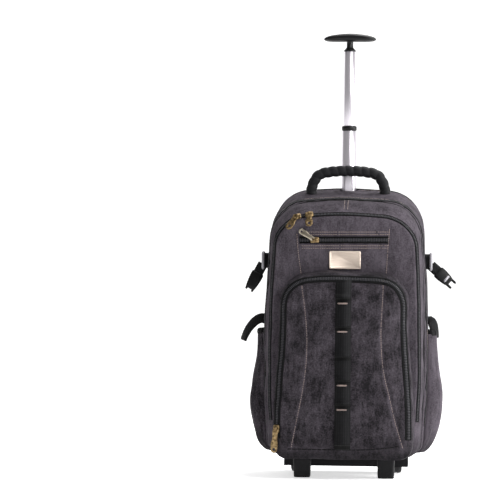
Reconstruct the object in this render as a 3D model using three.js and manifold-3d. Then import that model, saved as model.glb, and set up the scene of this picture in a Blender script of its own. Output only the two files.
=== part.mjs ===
// A canvas backpack on two wheels, with a telescopic pull handle at its full height.
// Millimetres, +Z up. X runs to the viewer's right, the pockets face -Y, and the floor is z = 0.
import * as THREE from "three";
import { mergeVertices } from "three/addons/utils/BufferGeometryUtils.js";
import Module from "manifold-3d";

const wasm = await Module();
wasm.setup();

// Fits and thicknesses
const CLEARANCE = 0.3;
const CLOTH = 2.4;
const WEBBING = 2;
const ZIP_PROUD = 0.9;

// Depths, front to back
const LOOP_RISE = 2.6;
const POCKET_CROWN = 10;
const POCKET_DEPTH = 46;
const SECOND_DEPTH = 52;
const MAIN_DEPTH = 108;
const BACK_PANEL_DEPTH = 12;
const SHOULDER_STRAP_DEPTH = 10;

// Heights above the floor
const POCKET_TOP = 378;
const SECOND_TOP = 507;
const MAIN_TOP = 532;
const POCKET_BOTTOM = 38;
const SECOND_BOTTOM = 38;
const MAIN_BOTTOM = 40;
const TRAY_BOTTOM = 14;
const TRAY_TOP = 70;
const SIDE_POCKET_BOTTOM = 44;
const SIDE_POCKET_TOP = 264;

// Half widths of the three compartments
const POCKET_HALF = 128;
const SECOND_HALF = 145;
const MAIN_HALF = 152;

// Slopes of the three tops, from back to front
const POCKET_FALL = 8;
const SECOND_FALL = 20;
const MAIN_FALL = 23;

// Zips
const MAIN_ZIP_WIDTH = 9;
const MAIN_ZIP_SETBACK = 8;
const POCKET_ZIP_LENGTH = 162;
const POCKET_ZIP_WIDTH = 13;
const ZIP_ABOVE_PLATE = 13;

// Plate and daisy chain
const PLATE_WIDTH = 57.5;
const PLATE_HEIGHT = 33;
const PLATE_THICKNESS = 2;
const PLATE_ABOVE_POCKET = 5.5;
const DAISY_WIDTH = 28.5;
const DAISY_TOP = 362;
const DAISY_BOTTOM = 58;

// Trolley handle
const UPPER_TUBE_RADIUS = 10.4;
const LOWER_TUBE_RADIUS = 13.1;
const SLIDING_GAP = 0.4;
const OUTER_TUBE_WALL = 1.6;
const UPPER_TUBE_WALL = 1.4;
const CHANNEL_SLACK = 1.6;
const CHANNEL_SETBACK = 5;
const COLLAR_TOP = 652;
const COLLAR_HEIGHT = 9;
const COLLAR_STEP = 0.9;
const UPPER_TUBE_TOP = 792;
const LOWER_TUBE_LENGTH = 190;
const UPPER_TUBE_LENGTH = 192;
const GRIP_TOP = 826;
const GRIP_LENGTH = 98;
const GRIP_HEIGHT = 17;
const GRIP_DEPTH = 26;
const NECK_RADIUS = 6;
const BEZEL_HEIGHT = 8;
const BEZEL_SINK = 3;

// Wheels, axles, tray and feet
const WHEEL_RADIUS = 31;
const WHEEL_WIDTH = 26;
const WHEEL_OFFSET = 91;
const WHEEL_PROUD = 4;
const TYRE_THICKNESS = 8;
const AXLE_RADIUS = 4;
const WELL_SIDE_GAP = 2;
const WELL_TOP_GAP = 3;
const TRAY_DEPTH = 50;
const TRAY_WALL = 3;
const CHEEK = 10;
const FOOT_WIDTH = 32;
const FOOT_DEPTH = 28;
const FOOT_OFFSET = 77;
const FOOT_SETBACK = 5;

// Carrying handle
const GRAB_HALF_SPAN = 66;
const GRAB_TOP = 577;
const GRAB_WIDE = 20;
const GRAB_DEEP = 18;
const GRAB_WRAPS = 13;

// Heights that follow the front pocket's top
const plateMiddle = POCKET_TOP + PLATE_ABOVE_POCKET + PLATE_HEIGHT / 2;
const pocketZipMiddle = plateMiddle + PLATE_HEIGHT / 2 + ZIP_ABOVE_PLATE + POCKET_ZIP_WIDTH / 2;

// Planes worked out from the depths
const depthTotal =
  WEBBING + LOOP_RISE + POCKET_CROWN + POCKET_DEPTH + SECOND_DEPTH + MAIN_DEPTH +
  BACK_PANEL_DEPTH + SHOULDER_STRAP_DEPTH + 5 * CLEARANCE;
const backPanelBack = depthTotal / 2 - SHOULDER_STRAP_DEPTH - CLEARANCE;
const backPanelFront = backPanelBack - BACK_PANEL_DEPTH;
const mainBack = backPanelFront - CLEARANCE;
const mainFront = mainBack - MAIN_DEPTH;
const secondBack = mainFront - CLEARANCE;
const secondFront = secondBack - SECOND_DEPTH;
const pocketBack = secondFront - CLEARANCE;
const pocketFront = pocketBack - POCKET_DEPTH;

const group = new THREE.Group();

// Materials
const finish = (color, roughness, metalness = 0) =>
  new THREE.MeshStandardMaterial({ color, roughness, metalness });
const canvas = finish(0x454249, 0.95);
const tape = finish(0x17171a, 0.8);
const plastic = finish(0x19191c, 0.5);
const rubber = finish(0x141416, 0.85);
const aluminium = finish(0xc9c6d6, 0.35, 0.9);
const brass = finish(0x9a763d, 0.4, 0.9);
const nickel = finish(0xc9c0b2, 0.35, 0.9);

function add(name, geometry, material) {
  const mesh = new THREE.Mesh(geometry, material);
  mesh.name = name;
  group.add(mesh);
  return mesh;
}

// Solids

// An indexed geometry turned so that its faces point out.
function closedGeometry(positions, triangles) {
  const geometry = new THREE.BufferGeometry();
  geometry.setAttribute("position", new THREE.Float32BufferAttribute(positions, 3));
  let volume = 0;
  const corner = (i) => new THREE.Vector3().fromArray(positions, 3 * i);
  for (let i = 0; i < triangles.length; i += 3) {
    const [a, b, c] = [0, 1, 2].map((k) => corner(triangles[i + k]));
    volume += a.dot(b.cross(c));
  }
  if (volume < 0) triangles.reverse();
  geometry.setIndex(triangles);
  return geometry;
}

// Rings of equally many points, joined one to the next, with a fan over each end.
function loft(rings) {
  const count = rings[0].length;
  const positions = rings.flat().flatMap((p) => [p.x, p.y, p.z]);
  const triangles = [];
  for (let r = 0; r + 1 < rings.length; r++) {
    for (let i = 0; i < count; i++) {
      const j = (i + 1) % count;
      const [a, b] = [r * count + i, r * count + j];
      triangles.push(a, b, b + count, a, b + count, a + count);
    }
  }
  for (const [r, flip] of [[0, true], [rings.length - 1, false]]) {
    const middle = rings[r].reduce((sum, p) => sum.add(p), new THREE.Vector3());
    middle.divideScalar(count);
    const hub = positions.length / 3;
    positions.push(middle.x, middle.y, middle.z);
    for (let i = 0; i < count; i++) {
      const edge = [r * count + i, r * count + ((i + 1) % count)];
      triangles.push(hub, ...(flip ? edge.reverse() : edge));
    }
  }
  return closedGeometry(positions, triangles);
}

function toSolid(geometry) {
  const bare = geometry.index ? geometry.toNonIndexed() : geometry.clone();
  bare.deleteAttribute("normal");
  bare.deleteAttribute("uv");
  const merged = mergeVertices(bare, 1e-3);
  return new wasm.Manifold(
    new wasm.Mesh({
      numProp: 3,
      vertProperties: merged.attributes.position.array,
      triVerts: new Uint32Array(merged.index.array),
    }),
  );
}

function toGeometry(solid) {
  const mesh = solid.getMesh();
  const geometry = new THREE.BufferGeometry();
  geometry.setAttribute("position", new THREE.BufferAttribute(mesh.vertProperties, 3));
  geometry.setIndex(new THREE.BufferAttribute(mesh.triVerts, 1));
  return geometry;
}

// The first geometry with the others cut out of it.
function cut(geometry, ...cutters) {
  const start = toSolid(geometry);
  return toGeometry(cutters.reduce((solid, cutter) => solid.subtract(toSolid(cutter)), start));
}

function fuse(...geometries) {
  return toGeometry(geometries.map(toSolid).reduce((a, b) => a.add(b)));
}

// A box from its low and high corners.
function box(low, high) {
  const size = high.map((h, i) => h - low[i]);
  const middle = high.map((h, i) => (h + low[i]) / 2);
  return new THREE.BoxGeometry(...size).translate(...middle);
}

// A section of [across, outward] pairs carried along a path; across keeps its direction.
function sweep(path, section, across, scaleAt = () => [1, 1]) {
  return loft(
    path.map((point, i) => {
      const before = path[Math.max(i - 1, 0)];
      const after = path[Math.min(i + 1, path.length - 1)];
      const along = after.clone().sub(before).normalize();
      const outward = new THREE.Vector3().crossVectors(along, across).normalize();
      const [wide, high] = scaleAt(i / (path.length - 1));
      return section.map(([u, v]) =>
        point.clone().addScaledVector(across, u * wide).addScaledVector(outward, v * high),
      );
    }),
  );
}

const flatSection = (width, thickness) => [
  [-width / 2, -thickness / 2],
  [width / 2, -thickness / 2],
  [width / 2, thickness / 2],
  [-width / 2, thickness / 2],
];

// A rectangle with its corners taken off, for padded straps and small mouldings.
function softSection(width, thickness, round) {
  const [w, t] = [width / 2, thickness / 2];
  return [
    [-w + round, -t], [w - round, -t], [w, -t + round], [w, t - round],
    [w - round, t], [-w + round, t], [-w, t - round], [-w, -t + round],
  ];
}

function ovalSection(width, thickness, sides) {
  return Array.from({ length: sides }, (_, i) => {
    const turn = (2 * Math.PI * i) / sides;
    return [(width / 2) * Math.cos(turn), (thickness / 2) * Math.sin(turn)];
  });
}

const smooth = (points, steps) =>
  new THREE.CatmullRomCurve3(points.map((p) => new THREE.Vector3(...p))).getPoints(steps);

// The three compartments

// Half width up each side as a share of the greatest, against the share of the straight side.
const forms = {
  main: {
    bottom: MAIN_BOTTOM, top: MAIN_TOP, half: MAIN_HALF, corner: 30, wide: 68, high: 76, bow: 3,
    sides: [
      { up: 0, half: 0.955 },
      { up: 0.15, half: 0.985 },
      { up: 0.4, half: 1 },
      { up: 0.65, half: 0.985 },
      { up: 0.85, half: 0.957 },
      { up: 1, half: 0.93 },
    ],
  },
  second: {
    bottom: SECOND_BOTTOM, top: SECOND_TOP, half: SECOND_HALF, corner: 30, wide: 74, high: 66, bow: 3,
    sides: [
      { up: 0, half: 0.96 },
      { up: 0.25, half: 1 },
      { up: 0.6, half: 0.995 },
      { up: 0.85, half: 0.975 },
      { up: 1, half: 0.945 },
    ],
  },
  pocket: {
    bottom: POCKET_BOTTOM, top: POCKET_TOP, half: POCKET_HALF, corner: 26, wide: 50, high: 58, bow: 3,
    sides: [
      { up: 0, half: 0.985 },
      { up: 0.17, half: 1 },
      { up: 0.4, half: 0.975 },
      { up: 0.72, half: 0.925 },
      { up: 1, half: 0.915 },
    ],
  },
};

function sideHalf(form, up) {
  const last = form.sides.length - 1;
  const k = Math.min(form.sides.findLastIndex((row) => row.up <= up), last - 1);
  const [a, b] = [form.sides[Math.max(k, 0)], form.sides[Math.max(k, 0) + 1]];
  const share = THREE.MathUtils.smoothstep(up, a.up, b.up) * 0.4 + ((up - a.up) / (b.up - a.up)) * 0.6;
  return form.half * THREE.MathUtils.lerp(a.half, b.half, share);
}

const BOTTOM_STEPS = 3;
const SIDE_STEPS = 5;
const TOP_STEPS = 6;

// The arch-topped outline seen from the front, from the bottom middle round to the right.
function outline(form, inset, drop) {
  const low = form.bottom + inset;
  const high = form.top - drop - inset;
  const corner = Math.max(form.corner - inset, form.corner / 5);
  const wide = Math.max(form.wide - inset, form.wide / 5);
  const tall = Math.max(form.high - inset, form.high / 5);
  const footHalf = sideHalf(form, 0) - inset;
  const topHalf = sideHalf(form, 1) - inset;
  const right = [[(footHalf - corner) / 2, low]];
  for (let i = 0; i <= BOTTOM_STEPS; i++) {
    const turn = (Math.PI / 2) * (i / BOTTOM_STEPS - 1);
    right.push([footHalf - corner + corner * Math.cos(turn), low + corner + corner * Math.sin(turn)]);
  }
  for (let i = 1; i < SIDE_STEPS; i++) {
    const up = i / SIDE_STEPS;
    right.push([sideHalf(form, up) - inset, THREE.MathUtils.lerp(low + corner, high - tall, up)]);
  }
  for (let i = 0; i <= TOP_STEPS; i++) {
    const turn = (Math.PI / 2) * (i / TOP_STEPS);
    right.push([topHalf - wide + wide * Math.cos(turn), high - tall + tall * Math.sin(turn)]);
  }
  right.push([(topHalf - wide) / 2, high + form.bow * 0.75]);
  const left = right.map(([x, z]) => [-x, z]).reverse();
  return [[0, low], ...right, [0, high + form.bow], ...left];
}

// One ring of a compartment: inset from the outline, top dropped, shrunk towards the middle.
function ring(form, { y, inset = 0, drop = 0, shrink = 1 }) {
  const middle = (form.bottom + form.top) / 2;
  return outline(form, inset, drop).map(
    ([x, z]) => new THREE.Vector3(x * shrink, y, middle + (z - middle) * shrink),
  );
}

// A hollow cloth compartment, from its rows; the inner skin lies one cloth inside the outer one.
function hollow(form, rows, back, front) {
  const outer = loft(rows.map((row) => ring(form, row)));
  const inner = loft(
    rows.map((row) => {
      const inside = THREE.MathUtils.clamp(row.y, front + CLOTH, back - CLOTH);
      const y = row.y < front ? row.y + CLOTH : inside;
      return ring(form, { ...row, y, inset: (row.inset ?? 0) + CLOTH });
    }),
  );
  return { outer, inner };
}

// A band round the arch between two rows of a compartment, from one lower side to the other.
function archBand(form, from, to, firstPoint, { rise, sink, spread = 0, trim = 0 }) {
  const step = new THREE.Vector2(to.y - from.y, to.inset - from.inset).normalize();
  const outward = new THREE.Vector2(-step.y, step.x);
  const corners = [[from, -spread, rise], [to, spread, rise], [to, spread, -sink], [from, -spread, -sink]];
  const lines = corners.map(([row, slide, lift]) => {
    const y = row.y + step.x * slide + outward.x * lift;
    const inset = row.inset + step.y * slide + outward.y * lift;
    const points = ring(form, { y, inset, drop: row.drop });
    const line = points.slice(firstPoint, points.length - firstPoint + 1);
    const pull = (end, next) => end.lerp(next, trim / end.distanceTo(next));
    pull(line[0], line[1]);
    pull(line.at(-1), line.at(-2));
    return line;
  });
  return loft(lines[0].map((_, i) => lines.map((line) => line[i])));
}

// A row part of the way from one row to the next.
const between = (a, b, share) => ({
  y: THREE.MathUtils.lerp(a.y, b.y, share),
  inset: THREE.MathUtils.lerp(a.inset, b.inset, share),
  drop: THREE.MathUtils.lerp(a.drop, b.drop, share),
});

const slotFor = (form, from, to, firstPoint) =>
  archBand(form, from, to, firstPoint, { rise: 2 * CLOTH, sink: 2 * CLOTH, spread: CLEARANCE });
const zipFor = (form, from, to, firstPoint) =>
  archBand(form, from, to, firstPoint, { rise: ZIP_PROUD, sink: CLOTH, trim: CLEARANCE });

// Trolley channel and tray recess in the main compartment
const outerTubeInner = LOWER_TUBE_RADIUS + SLIDING_GAP;
const outerTubeRadius = outerTubeInner + OUTER_TUBE_WALL;
const channelHalf = outerTubeRadius + CHANNEL_SLACK;
const tubeY = mainBack - channelHalf - CHANNEL_SETBACK;
const trayFront = mainBack - TRAY_DEPTH;

function channelCut(grow) {
  return box(
    [-channelHalf - grow, tubeY - channelHalf - grow, TRAY_TOP - CLEARANCE - 1],
    [channelHalf + grow, mainBack + grow + 1, MAIN_TOP + 20],
  );
}

function trayCut(grow) {
  return box(
    [-MAIN_HALF - 10, trayFront - grow, MAIN_BOTTOM - 10],
    [MAIN_HALF + 10, mainBack + 10, TRAY_TOP + grow],
  );
}

// Main compartment: highest at its back edge, with its zip near the front
const mainEdge = { y: mainFront + 3, inset: 0, drop: MAIN_FALL };
const mainRows = [
  { y: mainBack, inset: 5, drop: 0 },
  { y: mainBack - 5, inset: 0, drop: 0 },
  { y: (mainBack + mainFront) / 2, inset: -1, drop: MAIN_FALL * 0.42 },
  mainEdge,
  { y: mainFront, inset: 4, drop: MAIN_FALL },
];
const mainZipBack = between(
  mainEdge,
  { ...mainRows[2] },
  (MAIN_ZIP_SETBACK + MAIN_ZIP_WIDTH) / (mainRows[2].y - mainEdge.y),
);
const mainZipFront = between(mainEdge, mainRows[2], MAIN_ZIP_SETBACK / (mainRows[2].y - mainEdge.y));
const MAIN_ZIP_START = 7;
const mainSkins = hollow(forms.main, mainRows, mainBack, mainFront);
const mainInside = cut(mainSkins.inner, channelCut(CLOTH), trayCut(CLOTH));
const mainShell = add(
  "main_shell",
  cut(
    mainSkins.outer, channelCut(0), trayCut(0), mainInside,
    slotFor(forms.main, mainZipBack, mainZipFront, MAIN_ZIP_START),
  ),
  canvas,
);
add("main_zip", zipFor(forms.main, mainZipBack, mainZipFront, MAIN_ZIP_START), tape);

// Second compartment, with its zip on the bevelled front edge
const SECOND_BEVEL = 9;
const secondBevelBack = { y: secondFront + SECOND_BEVEL, inset: 3, drop: SECOND_FALL * 0.85 };
const secondBevelFront = { y: secondFront, inset: 3 + SECOND_BEVEL, drop: SECOND_FALL };
const secondRows = [
  { y: secondBack, inset: 4, drop: 0 },
  { y: secondBack - 4, inset: 0, drop: 0 },
  secondBevelBack,
  secondBevelFront,
  { y: secondFront, inset: 3 + SECOND_BEVEL, drop: SECOND_FALL, shrink: 0.5 },
];
const secondZip = [0.1, 0.85].map((share) => between(secondBevelBack, secondBevelFront, share));
const SECOND_ZIP_START = 6;
const secondSkins = hollow(forms.second, secondRows, secondBack, secondFront);
const pocketZipLow = pocketZipMiddle - POCKET_ZIP_WIDTH / 2;
const pocketZipHigh = pocketZipMiddle + POCKET_ZIP_WIDTH / 2;
const pocketZipSlot = box(
  [-POCKET_ZIP_LENGTH / 2 - CLEARANCE, secondFront - 5, pocketZipLow - CLEARANCE],
  [POCKET_ZIP_LENGTH / 2 + CLEARANCE, secondFront + CLOTH + 5, pocketZipHigh + CLEARANCE],
);
const secondShell = add(
  "second_shell",
  cut(
    secondSkins.outer, secondSkins.inner, pocketZipSlot,
    slotFor(forms.second, ...secondZip, SECOND_ZIP_START),
  ),
  canvas,
);
add("second_zip", zipFor(forms.second, ...secondZip, SECOND_ZIP_START), tape);
add(
  "pocket_zip",
  box(
    [-POCKET_ZIP_LENGTH / 2, secondFront - ZIP_PROUD, pocketZipLow],
    [POCKET_ZIP_LENGTH / 2, secondFront + CLOTH, pocketZipHigh],
  ),
  tape,
);

// Front pocket, puffed out, with a broad zip on its bevelled edge
const POCKET_BEVEL = 16;
const pocketBevelBack = { y: pocketFront + POCKET_BEVEL * 0.7, inset: 0, drop: POCKET_FALL * 0.7 };
const pocketBevelFront = { y: pocketFront, inset: POCKET_BEVEL, drop: POCKET_FALL };
const pocketRows = [
  { y: pocketBack, inset: 3, drop: 0 },
  { y: pocketBack - 3, inset: 0, drop: 0 },
  pocketBevelBack,
  pocketBevelFront,
  ...[
    { shrink: 0.86, puff: 0.42 },
    { shrink: 0.62, puff: 0.78 },
    { shrink: 0.3, puff: 1 },
  ].map(({ shrink, puff }) => ({ ...pocketBevelFront, shrink, y: pocketFront - POCKET_CROWN * puff })),
];
const frontZip = [0.1, 0.86].map((share) => between(pocketBevelBack, pocketBevelFront, share));
const FRONT_ZIP_START = 4;
const pocketSkins = hollow(forms.pocket, pocketRows, pocketBack, pocketFront);
const frontPocket = add(
  "front_pocket",
  cut(
    pocketSkins.outer, pocketSkins.inner,
    slotFor(forms.pocket, ...frontZip, FRONT_ZIP_START),
  ),
  canvas,
);
const frontZipMesh = add("front_zip", zipFor(forms.pocket, ...frontZip, FRONT_ZIP_START), tape);

// Where a mesh's surface lies when looked at along a direction, from well outside it
function surfaceAt(mesh, from, direction) {
  mesh.material.side = THREE.DoubleSide;
  const ray = new THREE.Raycaster(new THREE.Vector3(...from), new THREE.Vector3(...direction));
  return ray.intersectObject(mesh)[0].point;
}
const frontOf = (mesh, x, z) => surfaceAt(mesh, [x, -depthTotal, z], [0, 1, 0]).y;
const sideOf = (mesh, side, y, z) => surfaceAt(mesh, [side * 2 * MAIN_HALF, y, z], [-side, 0, 0]).x;
const topOf = (mesh, x, y) => surfaceAt(mesh, [x, y, 2 * MAIN_TOP], [0, 0, -1]).z;

// Padded back panel and the shoulder straps that lie on it
const backForm = { ...forms.main, half: MAIN_HALF - 6 };
const PANEL_ROUND = 4;
const backPanelRows = [
  { y: backPanelBack, inset: PANEL_ROUND + 2, drop: PANEL_ROUND },
  { y: backPanelBack - PANEL_ROUND, inset: 2, drop: PANEL_ROUND },
  { y: backPanelFront + PANEL_ROUND, inset: 2, drop: PANEL_ROUND },
  { y: backPanelFront, inset: PANEL_ROUND, drop: PANEL_ROUND },
];
const belowPanel = box(
  [-2 * MAIN_HALF, mainFront, 0],
  [2 * MAIN_HALF, depthTotal, TRAY_TOP + CLEARANCE],
);
add(
  "back_panel",
  cut(loft(backPanelRows.map((row) => ring(backForm, row))), belowPanel),
  canvas,
);

const STRAP_WIDTH = 58;
const STRAP_TAIL_WIDTH = 25;
const strapPath = { top: 496, bottom: 112, topOffset: 44, bowOffset: 74, bottomOffset: 112 };
const strapMiddle = backPanelBack + CLEARANCE + SHOULDER_STRAP_DEPTH / 2;
for (const [name, side] of [["left", -1], ["right", 1]]) {
  const { top, bottom, topOffset, bowOffset, bottomOffset } = strapPath;
  const path = smooth(
    [
      [side * topOffset, strapMiddle, top],
      [side * (topOffset + 4), strapMiddle, top - (top - bottom) * 0.2],
      [side * bowOffset, strapMiddle, top - (top - bottom) * 0.55],
      [side * (bottomOffset - 10), strapMiddle, top - (top - bottom) * 0.82],
      [side * bottomOffset, strapMiddle, bottom],
    ],
    14,
  );
  add(
    "shoulder_strap_" + name,
    sweep(
      path.map((p) => new THREE.Vector3(p.x, p.y, p.z)),
      softSection(STRAP_WIDTH, SHOULDER_STRAP_DEPTH, 3),
      new THREE.Vector3(1, 0, 0),
      (t) => {
        const narrow = THREE.MathUtils.smoothstep(t, 0.62, 0.72);
        const wide = THREE.MathUtils.lerp(1, STRAP_TAIL_WIDTH / STRAP_WIDTH, narrow);
        return [wide, THREE.MathUtils.lerp(1, 0.96, narrow)];
      },
    ),
    canvas,
  );
}

// Side pockets: open-topped, bulging most a third of the way up
const SIDE_POCKET_BULGE = 30;
const SIDE_POCKET_FRONT = mainFront + 22;
const SIDE_POCKET_BACK = mainBack - 14;
const sidePocketRows = [
  { up: 0, bulge: 0.22 },
  { up: 0.1, bulge: 0.55 },
  { up: 0.26, bulge: 0.87 },
  { up: 0.42, bulge: 0.97 },
  { up: 0.62, bulge: 0.75 },
  { up: 0.82, bulge: 0.5 },
  { up: 1, bulge: 0.4 },
];
const SIDE_POCKET_SIDES = 12;

// One level of a side pocket: flat against the compartment, an oval bulge outside.
function sidePocketRing(side, { up, bulge }, inside) {
  const z = THREE.MathUtils.lerp(SIDE_POCKET_BOTTOM, SIDE_POCKET_TOP, up);
  const wall = Math.max(
    ...[SIDE_POCKET_FRONT, mainRows[2].y].map((y) => side * sideOf(mainShell, side, y, z)),
  );
  const half = (SIDE_POCKET_BACK - SIDE_POCKET_FRONT) / 2 - inside;
  const middle = (SIDE_POCKET_BACK + SIDE_POCKET_FRONT) / 2;
  const inner = wall + (inside ? CLEARANCE + inside : -2 * CLOTH);
  const outer = wall + CLEARANCE + CLOTH + SIDE_POCKET_BULGE * bulge - inside;
  const depth = Math.max(outer - inner, CLOTH);
  return Array.from({ length: SIDE_POCKET_SIDES + 1 }, (_, i) => {
    const turn = Math.PI * (i / SIDE_POCKET_SIDES);
    const out = Math.pow(Math.sin(turn), 0.55);
    return new THREE.Vector3(side * (inner + depth * out), middle - half * Math.cos(turn), z);
  });
}

// The compartment a clearance larger all round, to trim what lies against it.
const mainGrown = loft(
  mainRows.map((row) => ring(forms.main, { ...row, inset: row.inset - CLEARANCE * 1.2 })),
);
for (const [name, side] of [["left", -1], ["right", 1]]) {
  const outer = sidePocketRows.map((row) => sidePocketRing(side, row, 0));
  const inner = sidePocketRows.slice(1).map((row) => sidePocketRing(side, row, CLOTH));
  const mouth = inner.at(-1).map((p) => p.clone().setZ(SIDE_POCKET_TOP + 10));
  add(
    "side_pocket_" + name,
    cut(loft(outer), mainGrown, loft([...inner, mouth])),
    canvas,
  );
}

// Moulded tray across the lower back, with a well for each wheel
const wheelY = backPanelBack - WHEEL_RADIUS + WHEEL_PROUD;
const wellHalf = WHEEL_WIDTH / 2 + WELL_SIDE_GAP;
const trayHalf = WHEEL_OFFSET + wellHalf + CHEEK;
const trayLow = [-trayHalf, trayFront + CLEARANCE, TRAY_BOTTOM];
const trayHigh = [trayHalf, backPanelBack, TRAY_TOP - CLEARANCE];
const wellTop = WHEEL_RADIUS * 2 + WELL_TOP_GAP;
const wellInner = WHEEL_OFFSET - wellHalf;
const trayCavity = box(
  [-wellInner + CHEEK, trayLow[1] + TRAY_WALL, TRAY_BOTTOM - 5],
  [wellInner - CHEEK, trayHigh[1] - TRAY_WALL, trayHigh[2] - TRAY_WALL],
);
const wells = [-1, 1].map((side) =>
  box(
    [side * WHEEL_OFFSET - wellHalf, trayLow[1] + TRAY_WALL, TRAY_BOTTOM - 5],
    [side * WHEEL_OFFSET + wellHalf, trayHigh[1] + 10, wellTop],
  ),
);

// A round bar along X from its middle.
const bar = (radius, length, sides, [x, y, z]) =>
  new THREE.CylinderGeometry(radius, radius, length, sides)
    .rotateY(Math.PI / sides)
    .rotateZ(Math.PI / 2)
    .translate(x, y, z);
const AXLE_SIDES = 16;
const axleLength = 2 * (wellHalf + CHEEK * 0.7);
const axleHoles = [-1, 1].map((side) =>
  bar(AXLE_RADIUS + CLEARANCE, axleLength + 2 * CLEARANCE, AXLE_SIDES, [
    side * WHEEL_OFFSET, wheelY, WHEEL_RADIUS,
  ]),
);
add("base_tray", cut(box(trayLow, trayHigh), trayCavity, ...wells, ...axleHoles), plastic);

// Wheels: a tyre round a hub, each on its own axle
const wheelSides = 20;
function turned(profile, sides, x) {
  const closed = [...profile, profile[0]]
    .reverse()
    .map(([along, radius]) => new THREE.Vector2(radius, along));
  return new THREE.LatheGeometry(closed, sides)
    .rotateZ(-Math.PI / 2)
    .translate(x, wheelY, WHEEL_RADIUS);
}
const tyreInner = WHEEL_RADIUS - TYRE_THICKNESS;
const tyreProfile = [
  [-0.5, tyreInner], [0.5, tyreInner], [0.5, WHEEL_RADIUS - 4], [0.36, WHEEL_RADIUS - 0.6],
  [0.12, WHEEL_RADIUS], [-0.12, WHEEL_RADIUS], [-0.36, WHEEL_RADIUS - 0.6], [-0.5, WHEEL_RADIUS - 4],
].map(([share, radius]) => [share * WHEEL_WIDTH, radius]);
const hubOuter = tyreInner - CLEARANCE;
const hubBore = AXLE_RADIUS + CLEARANCE;
const hubProfile = [
  [-0.5, hubBore], [0.5, hubBore], [0.5, hubBore + 4], [0.2, hubBore + 6],
  [0.2, hubOuter - 4], [0.44, hubOuter - 3], [0.44, hubOuter],
  [-0.44, hubOuter], [-0.44, hubOuter - 3], [-0.2, hubOuter - 4],
  [-0.2, hubBore + 6], [-0.5, hubBore + 4],
].map(([share, radius]) => [share * WHEEL_WIDTH, radius]);
for (const [name, side] of [["left", -1], ["right", 1]]) {
  const x = side * WHEEL_OFFSET;
  add("tyre_" + name, turned(tyreProfile, wheelSides, x), rubber);
  add("wheel_hub_" + name, turned(hubProfile, wheelSides, x), plastic);
  add("axle_" + name, bar(AXLE_RADIUS, axleLength, AXLE_SIDES, [x, wheelY, WHEEL_RADIUS]), aluminium);
}

// Front feet under the second compartment
const footBack = secondBack - FOOT_SETBACK;
for (const [name, side] of [["left", -1], ["right", 1]]) {
  const level = (z, shrink) =>
    [[-1, -1], [1, -1], [1, 1], [-1, 1]].map(
      ([u, v]) =>
        new THREE.Vector3(
          side * FOOT_OFFSET + (u * FOOT_WIDTH * shrink) / 2,
          footBack - FOOT_DEPTH / 2 + (v * FOOT_DEPTH * shrink) / 2,
          z,
        ),
    );
  add(
    "front_foot_" + name,
    loft([level(0, 0.78), level(3, 0.86), level(SECOND_BOTTOM - CLEARANCE, 1)]),
    plastic,
  );
}

// Telescopic handle: an outer tube in the channel, two sliding stages and the grip
const TUBE_SIDES = 20;
const BORE_LOW = 0.01;

// A tube about the vertical axis through (0, tubeY).
const tube = (outerRadius, innerRadius, low, high) =>
  new THREE.LatheGeometry(
    [[innerRadius, low], [outerRadius, low], [outerRadius, high], [innerRadius, high], [innerRadius, low]].map(
      ([radius, z]) => new THREE.Vector2(radius, z),
    ),
    TUBE_SIDES,
  )
    .rotateX(Math.PI / 2)
    .translate(0, tubeY, 0);
const outerTubeTop = topOf(mainShell, channelHalf + 4, tubeY) - BEZEL_HEIGHT - BEZEL_SINK;
add(
  "trolley_outer_tube",
  tube(outerTubeRadius, outerTubeInner, TRAY_TOP, outerTubeTop),
  aluminium,
);
add(
  "trolley_bezel",
  tube(
    channelHalf - CLEARANCE, outerTubeInner,
    outerTubeTop + CLEARANCE, outerTubeTop + CLEARANCE + BEZEL_HEIGHT,
  ),
  plastic,
);
const lowerInner = UPPER_TUBE_RADIUS + SLIDING_GAP;
const collarLow = COLLAR_TOP - COLLAR_HEIGHT;
add(
  "lower_stage",
  tube(LOWER_TUBE_RADIUS, lowerInner, COLLAR_TOP - LOWER_TUBE_LENGTH, collarLow - CLEARANCE),
  aluminium,
);
add("stage_collar", tube(LOWER_TUBE_RADIUS + COLLAR_STEP, lowerInner, collarLow, COLLAR_TOP), plastic);
add(
  "upper_stage",
  tube(
    UPPER_TUBE_RADIUS, UPPER_TUBE_RADIUS - UPPER_TUBE_WALL,
    UPPER_TUBE_TOP - UPPER_TUBE_LENGTH, UPPER_TUBE_TOP,
  ),
  aluminium,
);

// The grip: a bar that is thickest in the middle, on a neck with a flange over the tube's end
const gripMiddle = GRIP_TOP - GRIP_HEIGHT / 2;
const gripPath = Array.from({ length: 13 }, (_, i) => {
  const share = -1 + i / 6;
  const end = 1 - Math.pow(Math.abs(share), 3);
  return new THREE.Vector3(
    (share * GRIP_LENGTH) / 2,
    tubeY,
    gripMiddle - (1 - end) * GRIP_HEIGHT * 0.12,
  );
});
const grip = sweep(
  gripPath,
  ovalSection(GRIP_DEPTH, GRIP_HEIGHT, 12),
  new THREE.Vector3(0, 1, 0),
  (t) => {
    const share = Math.abs(2 * t - 1);
    const round = Math.sqrt(Math.max(1 - Math.pow(share, 6), 0.12));
    return [round, round * THREE.MathUtils.lerp(1, 0.62, share * share)];
  },
);
const neck = new THREE.LatheGeometry(
  [
    [BORE_LOW, UPPER_TUBE_TOP + CLEARANCE],
    [UPPER_TUBE_RADIUS + 0.6, UPPER_TUBE_TOP + CLEARANCE],
    [UPPER_TUBE_RADIUS + 0.6, UPPER_TUBE_TOP + 3],
    [NECK_RADIUS, UPPER_TUBE_TOP + 7],
    [NECK_RADIUS, gripMiddle],
    [BORE_LOW, gripMiddle],
  ].map(([radius, z], i, all) => new THREE.Vector2(i === 0 || i === all.length - 1 ? 0 : radius, z)),
  16,
)
  .rotateX(Math.PI / 2)
  .translate(0, tubeY, 0);
add("grip", fuse(grip, neck), plastic);

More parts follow.
